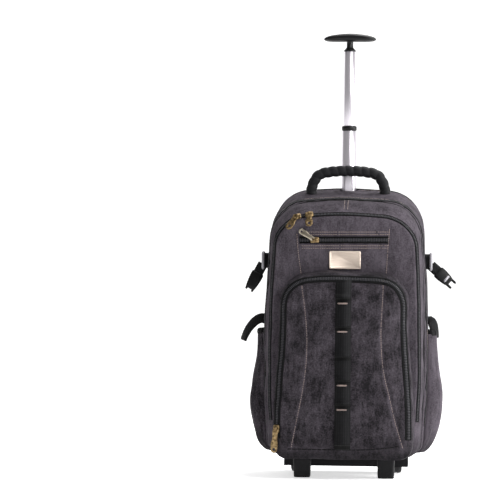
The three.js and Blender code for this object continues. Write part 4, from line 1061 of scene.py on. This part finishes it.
# Side pockets: open-topped canvas pockets for a bottle, pleated at the bottom and gathered at the
# mouth by elastic inside a black binding. They bulge most a little below half way up.
SIDE_POCKET = {
    "front": main["front"] + 22, "back": main["back"] - 14, "bulge": 30, "cloth": 2.4, "pleats": 3,
}
SIDE_BULGE = [(0, 0.22), (0.1, 0.55), (0.26, 0.87), (0.42, 0.97), (0.62, 0.75), (0.82, 0.5), (1, 0.4)]
side_low, side_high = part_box("side_pocket_left")
side_bottom, side_top = side_low.z / MM, side_high.z / MM
bulge_at = np.linspace(0, 1, 61)
bulge_raw = np.interp(bulge_at, *zip(*SIDE_BULGE))
bulge_smooth = np.convolve(np.pad(bulge_raw, 5, mode="edge"), np.ones(11) / 11, "valid")


def wall_at(side, y, z):
    hit = main_surface.ray_cast(Vector((side * 300, y, z)), Vector((-side, 0, 0)))[0]
    return side * hit.x if hit is not None else main["half"] * 0.95


def pleat(side, turn, y, z):
    """The pleats' swing from -1 to 1 at a place of a side pocket."""
    return math.cos(math.tau * turn * SIDE_POCKET["pleats"] + 1.3 * wave(Vector((0, y, z)), 60, shift=side))


def side_pocket_y(turn):
    half = (SIDE_POCKET["back"] - SIDE_POCKET["front"]) / 2
    return (SIDE_POCKET["back"] + SIDE_POCKET["front"]) / 2 - half * math.cos(math.pi * turn)


def side_pocket_point(side, turn, up, inside):
    """A point of a side pocket: turn from 0 at its front seam to 1 at its back seam."""
    z = side_bottom + (side_top - side_bottom) * up
    y = side_pocket_y(turn)
    wall = wall_at(side, y, z) - 0.6
    out = math.sin(math.pi * turn) ** 0.55
    reach = SIDE_POCKET["bulge"] * np.interp(up, bulge_at, bulge_smooth) + 2.7
    reach += pleat(side, turn, y, z) * (3.4 * (1 - up) ** 2 + 1.8 * up ** 3) * out
    reach += 1.5 * wave(Vector((side * 90, y, z)), 34, (1, 1, 0.7), 4) * out
    gather = 0.8 * near(up - 1, 0.12) * math.sin(turn * 70) * out
    x = wall + (reach + gather) * out - inside * out
    return Vector((side * x, y + inside * math.cos(math.pi * turn) * 0.8, z + (inside if up == 0 else 0)))


# painted shade on the left side pocket and painted light on the right one, which face away from and towards
# the lamps
SIDE_POCKET_PAINTED_LIGHT_AND_SHADE = {"left": -0.28, "right": 0.12}
for name, side in (("left", -1), ("right", 1)):
    across, upward = 49, 60
    grid = {}
    points, faces = [], []
    for skin in (0, 1):
        for r in range(upward + 1):
            for c in range(across):
                grid[skin, r, c] = len(points)
                points.append(side_pocket_point(
                    side, c / (across - 1), r / upward, skin * SIDE_POCKET["cloth"],
                ) * MM)
    for skin in (0, 1):
        for r in range(upward):
            for c in range(across - 1):
                faces.append((grid[skin, r, c], grid[skin, r, c + 1],
                              grid[skin, r + 1, c + 1], grid[skin, r + 1, c]))
    for c in range(across - 1):
        faces.append((grid[0, upward, c], grid[0, upward, c + 1], grid[1, upward, c + 1], grid[1, upward, c]))
    for r in range(upward):
        for c in (0, across - 1):
            faces.append((grid[0, r, c], grid[0, r + 1, c], grid[1, r + 1, c], grid[1, r, c]))
    for skin in (0, 1):
        seam = []
        for c in range(across):
            z = side_bottom + skin * SIDE_POCKET["cloth"]
            y = side_pocket_y(c / (across - 1))
            seam.append(len(points))
            points.append(Vector((side * (wall_at(side, y, z) - 0.6), y, z)) * MM)
        for c in range(across - 1):
            faces.append((grid[skin, 0, c], grid[skin, 0, c + 1], seam[c + 1], seam[c]))
        if skin:
            for c in range(across - 1):
                faces.append((first_seam[c], first_seam[c + 1], seam[c + 1], seam[c]))
        first_seam = seam
    pocket_piece = build("side_pocket_cloth_" + name, points, faces, canvas)
    wear_and_painted_shade = pocket_piece.data.attributes.new("wear_and_painted_shade", "FLOAT", "POINT")
    # the cloth is rubbed pale along the pleats that stand out; painted shade darkens the left pocket, painted
    # light brightens the right
    painted_light_and_shade = SIDE_POCKET_PAINTED_LIGHT_AND_SHADE[name]
    turns = [c / (across - 1) for skin in (0, 1) for r in range(upward + 1) for c in range(across)]
    turns += [0.5 / SIDE_POCKET["pleats"]] * (len(points) - len(turns))
    wear_and_painted_shade.data.foreach_set("value", [
        0.5 * max(pleat(side, turn, p[1] / MM, p[2] / MM), 0) ** 5 + 0.1 * wave(Vector(p) / MM, 25) + painted_light_and_shade
        for turn, p in zip(turns, points)
    ])
    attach(pocket_piece, "pack")
    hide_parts("side_pocket_" + name)
    binding = []
    for c in range(across):
        middle = (side_pocket_point(side, c / (across - 1), 1, SIDE_POCKET["cloth"] / 2)
                  + Vector((0, 0, 1 + 0.5 * math.sin(c * 1.9))))
        outward = Vector((side, 0, 0))
        binding.append([middle + outward * (2.3 * u) + Vector((0, 0, 6.0 * v)) for u, v in
                        [(math.cos(a), math.sin(a)) for a in np.linspace(0, math.tau, 12, endpoint=False)]])
    hem = stack("side_pocket_binding_" + name, binding, tape_material)
    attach(hem, "pack")

# Side straps: a strap of the same webbing closes each side pocket. It comes out of the
# compartment's wall, arches out over the pocket and hangs down.
def flat_sweep(name, path, width, thick, widths, material, edge=0.8):
    """A flat strap along a path; widths gives the direction of its width at each point."""
    rings = []
    for i, place in enumerate(path):
        along = (path[min(i + 1, len(path) - 1)] - path[max(i - 1, 0)]).normalized()
        wide_way = widths[i] if isinstance(widths, list) else widths
        wide_way = (wide_way - along * wide_way.dot(along)).normalized()
        out = along.cross(wide_way).normalized()
        half, rise = width / 2, thick / 2
        top = [(-half + edge, rise), (-half * 0.4, rise), (half * 0.4, rise), (half - edge, rise)]
        under = [(u, -rise) for u, _ in top[::-1]]
        rings.append([
            place + wide_way * u + out * v for u, v in [(-half, 0)] + top + [(half, 0)] + under
        ])
    return stack(name, rings, material)


SIDE_STRAP_Y = 34.5
# distance out from the wall, and height above the pocket's mouth, along each strap
SIDE_STRAP_ROUTES = {
    "left": [(-1, 24), (8, 26), (19, 21), (31, 8), (39, -7), (42, -16)],
    "right": [(-1, 22), (5, 24), (10, 18), (13, 6), (15, -8)],
}
STRAP_WIDTH = 21
for name, side in (("left", -1), ("right", 1)):
    wall = wall_at(side, SIDE_STRAP_Y, side_top + 24)
    knots = [(side * (wall + out), side_top + up) for out, up in SIDE_STRAP_ROUTES[name]]
    path = [Vector((x, SIDE_STRAP_Y, z)) for x, z in even_line(knots, 3)]
    widths = []
    for i in range(len(path)):
        along = (path[min(i + 1, len(path) - 1)] - path[max(i - 1, 0)]).normalized()
        turn = math.radians(62 - 34 * i / len(path))
        widths.append(Vector((0, math.cos(turn), 0))
                      + Vector((-along.z, 0, along.x)) * (side * math.sin(turn)))
    strap = flat_sweep("side_strap_woven_" + name, path, STRAP_WIDTH, 3.6, widths, webbing_material)
    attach(strap, "pack")
    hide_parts("side_strap_" + name)

# Upper side straps: a folded webbing tab is sewn in the seam and holds a moulded grey ring; half
# of a side-release buckle hangs from the ring on a short end of webbing.
# Acetal: moulded in an eroded tool, so it has a fine even grain and a dull waxy shine
acetal_material = grained(
    "moulded_black_acetal", 420.0, 3.0, rough=(0.34, 0.55), bump=(0.25, 0.25),
    Base_Color=linear("060607"), Roughness=0.42, IOR=1.48, Specular_IOR_Level=0.2,
)
grey_material = grained(
    "moulded_grey_acetal", 400.0, bump=(0.2, 0.2), follows="Generated",
    Base_Color=linear("8d8b90"), Roughness=0.35, IOR=1.48,
)

UPPER = {"y": 28.5, "z": 398, "tab_wide": 30, "tab_thick": 9}
# the ring's outline in mm, how far it is flattened each way, and the half thickness of its wire
RING = {"deep": 30, "high": 34, "corner": 8, "flat_y": 0.82, "flat_z": 0.86, "wire": 2.7}
# down the buckle's body: distance from the ring, width, half thickness, in mm
BUCKLE_ROWS = [
    (15, 21, 3.4), (17, 24, 4.4), (26, 24, 4.6), (32, 22.5, 4.4), (38, 21, 4.2), (44, 18, 3.6),
    (45.5, 16, 2.2),
]
UPPER_STRAPS = [
    {"name": "left", "side": -1, "droop": 62, "longer": 1.12, "slot": False},
    {"name": "right", "side": 1, "droop": 42, "longer": 1.0, "slot": True},
]
for row in UPPER_STRAPS:
    name, side = row["name"], row["side"]
    low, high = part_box("upper_tab_" + name)
    inner = min(abs(low.x), abs(high.x)) / MM
    outer = max(abs(low.x), abs(high.x)) / MM
    path = [Vector((side * x, UPPER["y"], UPPER["z"])) for x in np.linspace(inner - 5, outer + 1, 8)]
    tab = flat_sweep("upper_tab_woven_" + name, path, UPPER["tab_wide"], UPPER["tab_thick"],
                     Vector((0, 0.35, 1)), webbing_material, edge=2)
    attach(tab, "pack")
    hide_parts("upper_tab_" + name)
    low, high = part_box("upper_ring_" + name)
    ring_x = (abs(low.x) + abs(high.x)) / 2 / MM
    rings = []
    outline = rounded(RING["deep"], RING["high"], RING["corner"], 11)
    for k in range(48):
        u, v = outline[k]
        u2, v2 = outline[(k + 1) % 48]
        along = Vector((0, u2 - u, v2 - v)).normalized()
        outward = Vector((0, along.z, -along.y))
        y, z = UPPER["y"] + u * RING["flat_y"], UPPER["z"] + v * RING["flat_z"]
        middle = Vector((side * ring_x, y, z))
        rings.append([
            middle + (Vector((1, 0, 0)) * math.cos(a) + outward * math.sin(a)) * RING["wire"]
            for a in np.linspace(0, math.tau, 10, endpoint=False)
        ])
    loop = stack("upper_ring_moulded_" + name, rings, grey_material, closed=True)
    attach(loop, "pack")
    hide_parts("upper_ring_" + name)

    # the buckle hangs out and down, its broad face turned to the front
    turn = math.radians(row["droop"])
    hang = Vector((side * math.cos(turn), 0, -math.sin(turn)))
    broad = Vector((side * math.sin(turn), 0.3, math.cos(turn))).normalized()
    broad = (broad - hang * broad.dot(hang)).normalized()
    thickness = hang.cross(broad).normalized()
    start = Vector((side * (ring_x + 1.5), UPPER["y"] - 2, UPPER["z"] - 8))
    strap_path = [start + hang * d for d in np.linspace(-2, 20, 8)]
    end_strap = flat_sweep("upper_strap_end_" + name, strap_path, 20, 5, broad, webbing_material, edge=1)
    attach(end_strap, "pack")
    rings = [
        [start + hang * (down * row["longer"]) + broad * u + thickness * v
         for u, v in rounded(wide, 2 * thick, thick * 0.9, 4)]
        for down, wide, thick in BUCKLE_ROWS
    ]
    buckle_parts = [stack("upper_buckle_body_" + name, rings, acetal_material)]
    for offset in (-6.5, 6.5):
        prong = [[start + hang * down + broad * (offset + u) + thickness * v
                  for u, v in rounded(4.6 * grow, 5.2 * grow, 2, 3)]
                 for down, grow in ((40, 1), (50, 1), (53, 0.9), (54.5, 0.5))]
        buckle_parts.append(stack("upper_buckle_prong_" + name, prong, acetal_material))
    # only the right one shows its light slot
    if row["slot"]:
        front = thickness if thickness.y < 0 else -thickness
        slot_ring = [
            [start + hang * (36 + u) + broad * v + front * (3.2 + w) for u, v in rounded(4.5, 14, 2, 5)]
            for w in (0, 1.6)
        ]
        buckle_parts.append(stack("upper_buckle_bar_" + name, slot_ring, grey_material))
    buckle = joined("upper_buckle_moulded_" + name, buckle_parts)
    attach(buckle, "pack")
    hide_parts("upper_buckle_" + name)

# Carrying handle: a padded webbing loop wound with black tape, so that its outline is a row of
# soft bumps. Its ends are sewn into the top of the main compartment.
wound_material = grained(
    "wound_black_handle_tape", 330.0, 4.0, dyes=("060607", "18181b"), bump=(0.4, 0.5),
    Base_Color=linear("131315"), Roughness=0.62, Sheen_Weight=0.05, Specular_IOR_Level=0.18,
)

low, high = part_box("grab_handle")
GRAB = {"half": 68.5, "top": high.z / MM, "wide": 20, "deep": 18, "wraps": 13}
grab_y = (low.y + high.y) / 2 / MM
grab_foot = low.z / MM
grab_left = [
    (-GRAB["half"], grab_foot - 1), (-GRAB["half"] + 1, grab_foot + 14),
    (-GRAB["half"] * 0.82, GRAB["top"] - 19), (-GRAB["half"] * 0.5, GRAB["top"] - 12),
]
grab_knots = grab_left + [(0, GRAB["top"] - 10)] + [(-x, z) for x, z in grab_left[::-1]]
grab_line = even_line(grab_knots, 1.2)
grab_rings = []
for i, (x, z) in enumerate(grab_line):
    ahead, behind = grab_line[min(i + 1, len(grab_line) - 1)], grab_line[max(i - 1, 0)]
    along = Vector((ahead[0] - behind[0], 0, ahead[1] - behind[1])).normalized()
    out = Vector((-along.z, 0, along.x))
    share = i / (len(grab_line) - 1)
    ring = []
    for a in np.linspace(0, math.tau, 28, endpoint=False):
        turns = GRAB["wraps"] * share + a / math.tau
        swell = 0.86 + 0.16 * abs(math.sin(math.pi * turns)) ** 0.6
        swell += 0.02 * noise.noise(Vector((x / 9, math.cos(a), z / 9)))
        ring.append(Vector((x, grab_y, z)) + out * (GRAB["wide"] / 2 * swell * math.cos(a))
                    + Vector((0, 1, 0)) * (GRAB["deep"] / 2 * swell * math.sin(a)))
    grab_rings.append(ring)
grab = stack("grab_handle_wound", grab_rings, wound_material)
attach(grab, "pack")
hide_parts("grab_handle")

# Trolley handle: satin anodised aluminium tubes, one sliding in another, with moulded black
# plastic for the collar, the bezel in the bag's top and the T grip.
# Anodised aluminium: drawn along the tube, so its streaks run upright and its shine is soft
anodised_material = grained(
    "satin_anodised_aluminium", 1.0, rough=(0.22, 0.42), stretch=(1500, 1500, 12),
    Base_Color=linear("e4dfe6"), Metallic=1.0, Roughness=0.3,
)
# ABS: moulded black with a fine leathery grain
abs_material = grained(
    "moulded_black_abs", 500.0, 3.0, bump=(0.2, 0.2),
    Base_Color=linear("070708"), Roughness=0.4, IOR=1.5, Specular_IOR_Level=0.25,
)


def lathe(name, profile, centre, material, sides=64, axis="Z"):
    """A ring-shaped solid: a closed profile of (radius, height) turned about an axis."""
    rings = []
    for k in range(sides):
        turn = math.tau * k / sides
        c, s = math.cos(turn), math.sin(turn)
        if axis == "Z":
            rings.append([centre + Vector((r * c, r * s, h)) for r, h in profile])
        else:
            rings.append([centre + Vector((h, r * c, r * s)) for r, h in profile])
    return stack(name, rings, material, closed=True)


def tube_profile(inner, outer, low, high, edge=0.6):
    return [(inner, low), (outer - edge, low), (outer, low + edge), (outer, high - edge),
            (outer - edge, high), (inner, high)]


low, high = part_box("upper_stage")
tube_y = (low.y + high.y) / 2 / MM
axis_foot = Vector((0, tube_y, 0))
# the cloth is cut out under the bezel, where the tubes go through
TUBE_HOLE_RADIUS = 15.5
main_middle_height = (main["bottom"] + main["top"]) / 2
cut = bmesh.new()
cut.from_mesh(main_bag.data)
bmesh.ops.delete(cut, context="FACES", geom=[
    face for face in cut.faces
    if face.calc_center_median().z / MM > main_middle_height
    and (face.calc_center_median() / MM - axis_foot).xy.length < TUBE_HOLE_RADIUS
])
cut.to_mesh(main_bag.data)
cut.free()
for cad_node, piece_name, body, wall_mm, material, slot_name in (
    ("trolley_outer_tube", "outer_tube", "pack", 1.6, anodised_material, "tube"),
    ("trolley_bezel", "bezel_ring", "pack", 2.9, abs_material, "handle_plastic"),
    ("lower_stage", "lower_tube", "lower_stage", 2.3, anodised_material, "tube"),
    ("stage_collar", "collar_ring", "lower_stage", 3.2, abs_material, "handle_plastic"),
    ("upper_stage", "upper_tube", "upper_stage", 1.4, anodised_material, "tube"),
):
    low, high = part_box(cad_node)
    radius = (high.y - low.y) / 2 / MM
    edge = 1.6 if slot_name == "handle_plastic" else 0.5
    section = tube_profile(radius - wall_mm, radius, low.z / MM, high.z / MM, edge)
    turned_piece = lathe(piece_name, section, axis_foot, material)
    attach(turned_piece, body)
    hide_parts(cad_node)

low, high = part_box("grip")
grip_top, grip_half = high.z / MM, (high.x - low.x) / 2 / MM
grip_foot = low.z / MM
GRIP = {"deep": 26, "high": 17, "lean": 1.2}
grip_rings = []
for share in np.linspace(-1, 1, 61):
    size = abs(share)
    round_off = math.sqrt(max(1 - size ** 7, 0.0)) if size < 1 else 0.0
    round_off = max(round_off, 0.1)
    thick = GRIP["high"] * (1 - 0.42 * size ** 1.6) * round_off
    deep = GRIP["deep"] * round_off
    middle = grip_top - GRIP["high"] / 2 - 2.2 * size ** 2
    ring = []
    for a in np.linspace(0, math.tau, 32, endpoint=False):
        c, s = math.cos(a), math.sin(a)
        bump = math.copysign(abs(s) ** 0.8, s)
        flatter = 1.0 if s > 0 else 1.0 - 0.18 * (1 - size)
        ring.append(Vector((share * grip_half, tube_y + deep / 2 * math.copysign(abs(c) ** 0.8, c),
                            middle + thick / 2 * bump * flatter)))
    grip_rings.append(ring)
grip_parts = [stack("grip_bar", grip_rings, abs_material)]
neck_profile = [(0.5, grip_foot), (11, grip_foot), (11, grip_foot + 2.2), (8.6, grip_foot + 4.6),
                (6.2, grip_foot + 7.5), (6.0, grip_top - 15), (8.5, grip_top - 11), (0.5, grip_top - 9)]
grip_parts.append(lathe("grip_neck", neck_profile, axis_foot, abs_material, 48))
grip = joined("grip_moulded", grip_parts)
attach(grip, "upper_stage")
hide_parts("grip")

# Base: a moulded polypropylene tray across the lower back carries the wheels; two feet in front
# of it keep the bag upright.
# Polypropylene: waxy black with coarse moulded grain that holds dust
polypropylene_material = grained(
    "moulded_black_polypropylene", 260.0, 5.0, dyes=("060607", "18171a"), bump=(0.35, 0.4),
    Base_Color=linear("0f0f11"), Roughness=0.5, IOR=1.49, Specular_IOR_Level=0.18,
)
# Steel: turned bright and handled, so its shine is uneven
steel_material = grained(
    "plain_steel_axle", 300.0, rough=(0.25, 0.5), follows="Generated",
    Base_Color=linear("a8a8ad"), Metallic=1.0, Roughness=0.35,
)
for cad_node, material in (("base_tray", polypropylene_material), ("axle_left", steel_material),
                           ("axle_right", steel_material)):
    for material_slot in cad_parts[cad_node].material_slots:
        material_slot.material = material

for name in ("left", "right"):
    low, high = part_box("front_foot_" + name)
    middle = (low + high) / 2 / MM
    wide, deep, tall = (high - low) / MM
    rings = []
    for z, grow in ((0, 0.86), (1.2, 0.93), (6, 0.95), (tall * 0.5, 0.97), (tall - 6, 1), (tall, 1)):
        rings.append([(middle.x + u, middle.y + v, z) for u, v in rounded(wide * grow, deep * grow, 5, 6)])
    foot = stack("foot_moulded_" + name, rings, polypropylene_material)
    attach(foot, "pack")
    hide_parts("front_foot_" + name)

# Wheels: a polyurethane tyre with two shallow grooves, moulded on a nylon hub with six spokes.
# Polyurethane: cast black, scuffed dull and grey by the floor
tyre_material = grained(
    "polyurethane_tyre", 350.0, 4.0, dyes=("0a0a0a", "242325"), bump=(0.4, 0.3),
    Base_Color=linear("101011"), Roughness=0.66, IOR=1.5, Specular_IOR_Level=0.3,
)
# Nylon: moulded dark grey, a little shinier than the tyre
nylon_material = grained(
    "moulded_grey_nylon", 400.0, 3.0, bump=(0.25, 0.2), follows="Generated",
    Base_Color=linear("1c1c1f"), Roughness=0.45, IOR=1.53,
)
for name in ("left", "right"):
    low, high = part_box("tyre_" + name)
    centre = (low + high) / 2 / MM
    radius, half = (high.z - low.z) / 2 / MM, (high.x - low.x) / 2 / MM
    hub_low, hub_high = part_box("wheel_hub_" + name)
    hub_radius, hub_half = (hub_high.z - hub_low.z) / 2 / MM, (hub_high.x - hub_low.x) / 2 / MM
    bore = hub_radius + 0.2
    tread_left = [
        (bore, -half + 1.5), (radius - 5, -half), (radius - 1.8, -half + 1), (radius - 0.3, -half + 3.2),
        (radius, -half + 6), (radius, -3.6), (radius - 1.2, -3.2), (radius - 1.2, -2.4), (radius, -2),
    ]
    tread = tread_left + [(r, -x) for r, x in tread_left[::-1]]
    tyre = lathe("tyre_moulded_" + name, tread, centre, tyre_material, 72, axis="X")
    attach(tyre, "wheel_" + name)
    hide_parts("tyre_" + name)
    rim_section = [(hub_radius - 3, -hub_half), (hub_radius, -hub_half + 0.8),
                   (hub_radius, hub_half - 0.8), (hub_radius - 3, hub_half)]
    boss_section = [(4.6, -hub_half), (8, -hub_half), (8.6, -hub_half + 0.8),
                    (8.6, hub_half - 0.8), (8, hub_half), (4.6, hub_half)]
    hub_parts = [
        lathe("hub_rim_" + name, rim_section, centre, nylon_material, 64, axis="X"),
        lathe("hub_boss_" + name, boss_section, centre, nylon_material, 40, axis="X"),
    ]
    for k in range(6):
        turn = math.tau * k / 6
        out = Vector((0, math.cos(turn), math.sin(turn)))
        side = Vector((0, -math.sin(turn), math.cos(turn)))
        spoke = [[centre + out * r + side * u + Vector((v, 0, 0))
                  for u, v in rounded(5 * grow, 2 * hub_half - 3, 1.2, 3)]
                 for r, grow in ((7.5, 1.15), ((hub_radius + 6) / 2, 0.85), (hub_radius - 1.5, 1.15))]
        hub_parts.append(stack("hub_spoke_" + name, spoke, nylon_material))
    hub = joined("wheel_hub_moulded_" + name, hub_parts)
    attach(hub, "wheel_" + name)
    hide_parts("wheel_hub_" + name)

# Back: a foam panel under black air mesh, quilted in channels so that it breathes, and two curved
# shoulder straps of the same foam and mesh with webbing tails through plastic adjusters.
mesh_material, mesh_shader = new_material(
    "black_air_mesh_over_foam", Base_Color=linear("141416"), Roughness=0.85, Sheen_Weight=0.2,
    Specular_IOR_Level=0.2,
)
mesh_place = node(mesh_material, "ShaderNodeTexCoord")
MESH_MM = 3.4  # real air mesh has holes 2 mm apart
mesh_cells = node(mesh_material, "ShaderNodeTexVoronoi", [("Vector", mesh_place, "Object")],
                  Scale=1 / (MESH_MM * MM), Randomness=0.25)
mesh_dye = node(mesh_material, "ShaderNodeMixRGB", [("Fac", mesh_cells, "Distance")])
mesh_dye.inputs["Color1"].default_value = linear("050506")
mesh_dye.inputs["Color2"].default_value = linear("2e2d33")
link(mesh_material, mesh_dye, "Color", mesh_shader, "Base Color")
mesh_bump = node(mesh_material, "ShaderNodeBump", [("Height", mesh_cells, "Distance")],
                 Strength=0.6, Distance=0.8 * MM)
link(mesh_material, mesh_bump, "Normal", mesh_shader, "Normal")

low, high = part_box("back_panel")
panel = {**main, "bottom": low.z / MM, "half": main["half"] - 8, "corner": 12}
panel_front, panel_back = low.y / MM, high.y / MM
PANEL_CHANNELS = [150, 235, 320, 405]
PANEL_SPINE = 34


def panel_wrinkle(place, normal):
    facing = max(normal.y, 0)
    lift = -0.4 + 0.35 * wave(place, 30, shift=8)
    for z in PANEL_CHANNELS:
        bend = z + 10 * math.cos(place.x / 70)
        lift -= 4.2 * near(place.z - bend, 12) * facing * (1 - near(abs(place.x) - panel["half"], 22))
    lift -= 3.6 * near(abs(place.x) - PANEL_SPINE, 8) * facing
    return lift, 0.1


panel_rows = [
    (panel_front, 4, 4, 0.4), (panel_front, 4, 4, 1), (panel_front + 4, 2, 4, 1),
    (panel_back - 4, 2, 4, 1), (panel_back - 1.2, 3.4, 4, 1), (panel_back, 7, 4, 1),
    (panel_back, 7, 4, 0.02),
]
back = cloth_shell("back_panel_padded", panel, panel_rows, panel_wrinkle)
back.data.materials[0] = mesh_material
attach(back, "pack")
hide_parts("back_panel")

STRAP = {"wide": 58, "tail": 25, "top": 496, "bottom": 112}
# distance from the middle in mm, share of the way down
STRAP_ROUTE = [(44, 0), (48, 0.2), (74, 0.55), (102, 0.82), (112, 1)]
strap_low, strap_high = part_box("shoulder_strap_left")
strap_deep = (strap_high.y - strap_low.y) / MM
strap_y = (strap_low.y + strap_high.y) / 2 / MM
for name, side in (("left", -1), ("right", 1)):
    run = STRAP["top"] - STRAP["bottom"]
    line = even_line([(side * out, STRAP["top"] - run * down) for out, down in STRAP_ROUTE], 3)
    cut_at = int(len(line) * 0.68)
    rings = []
    for i, (x, z) in enumerate(line[:cut_at]):
        ahead, behind = line[i + 1], line[max(i - 1, 0)]
        along = Vector((ahead[0] - behind[0], 0, ahead[1] - behind[1])).normalized()
        wide_way = Vector((along.z, 0, -along.x))
        share = i / (cut_at - 1)
        taper = np.interp(share, (0, 0.04, 0.85, 0.97, 1), (0.86, 1, 1, 0.72, 0.55))
        puff = np.interp(share, (0, 0.05, 0.9, 1), (0.55, 1, 1, 0.6))
        ring = []
        for a in np.linspace(0, math.tau, 36, endpoint=False):
            c, s = math.cos(a), math.sin(a)
            u = math.copysign(abs(c) ** 0.7, c) * STRAP["wide"] / 2 * taper
            v = math.copysign(abs(s) ** 0.55, s) * (strap_deep / 2 - 0.3) * puff
            channel = 1.5 * near(abs(u) - STRAP["wide"] * 0.36, 4) * (1 if s > 0 else 0)
            ring.append(Vector((x, strap_y + v - channel, z)) + wide_way * u)
        rings.append(ring)
    strap = stack("shoulder_strap_padded_" + name, rings, mesh_material)
    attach(strap, "pack")
    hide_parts("shoulder_strap_" + name)
    tail_path = [Vector((x, strap_y - 0.6, z)) for x, z in line[cut_at - 12:]]
    tail = flat_sweep("shoulder_tail_" + name, tail_path, STRAP["tail"], 2.6, Vector((1, 0, 0)),
                      webbing_material)
    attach(tail, "pack")
    x, z = line[cut_at + 3]
    ahead = line[cut_at + 4]
    down = Vector((ahead[0] - x, 0, ahead[1] - z)).normalized()
    cross = Vector((down.z, 0, -down.x))
    outline, hole = rounded(36, 26, 5, 5), rounded(27, 8, 2, 5)
    lock = pull_plate("strap_adjuster_" + name,
                      lambda u, v, w: Vector((x, strap_y + 2.6 + w, z)) + cross * u + down * v,
                      outline, hole, 4.0, acetal_material)
    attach(lock, "pack")

# Piping: cord in black binding is sewn into the seam round the back and round the second
# compartment's back edge.
def piped(name, line, radius):
    """A round cord along a line on a surface."""
    rings = []
    for i, (place, normal) in enumerate(line):
        along = (line[min(i + 1, len(line) - 1)][0] - line[max(i - 1, 0)][0]).normalized()
        across = normal.cross(along).normalized()
        rings.append([
            place + normal * (radius * 0.45 + radius * math.sin(a)) + across * (radius * math.cos(a))
            for a in np.linspace(0, math.tau, 10, endpoint=False)
        ])
    piece = stack(name, rings, tape_material)
    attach(piece, "pack")
    return piece


back_line = evened(round_arch(main_surface, main, main["back"] - 3.5, 1.0, 0, 82))
back_cord = piped("back_piping_cord", back_line, 2.2)
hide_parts("back_piping")
second_line = evened(round_arch(second_surface, second, second["back"] - 3, 0.5, 0, 100))
second_cord = piped("second_piping_cord", second_line, 1.7)
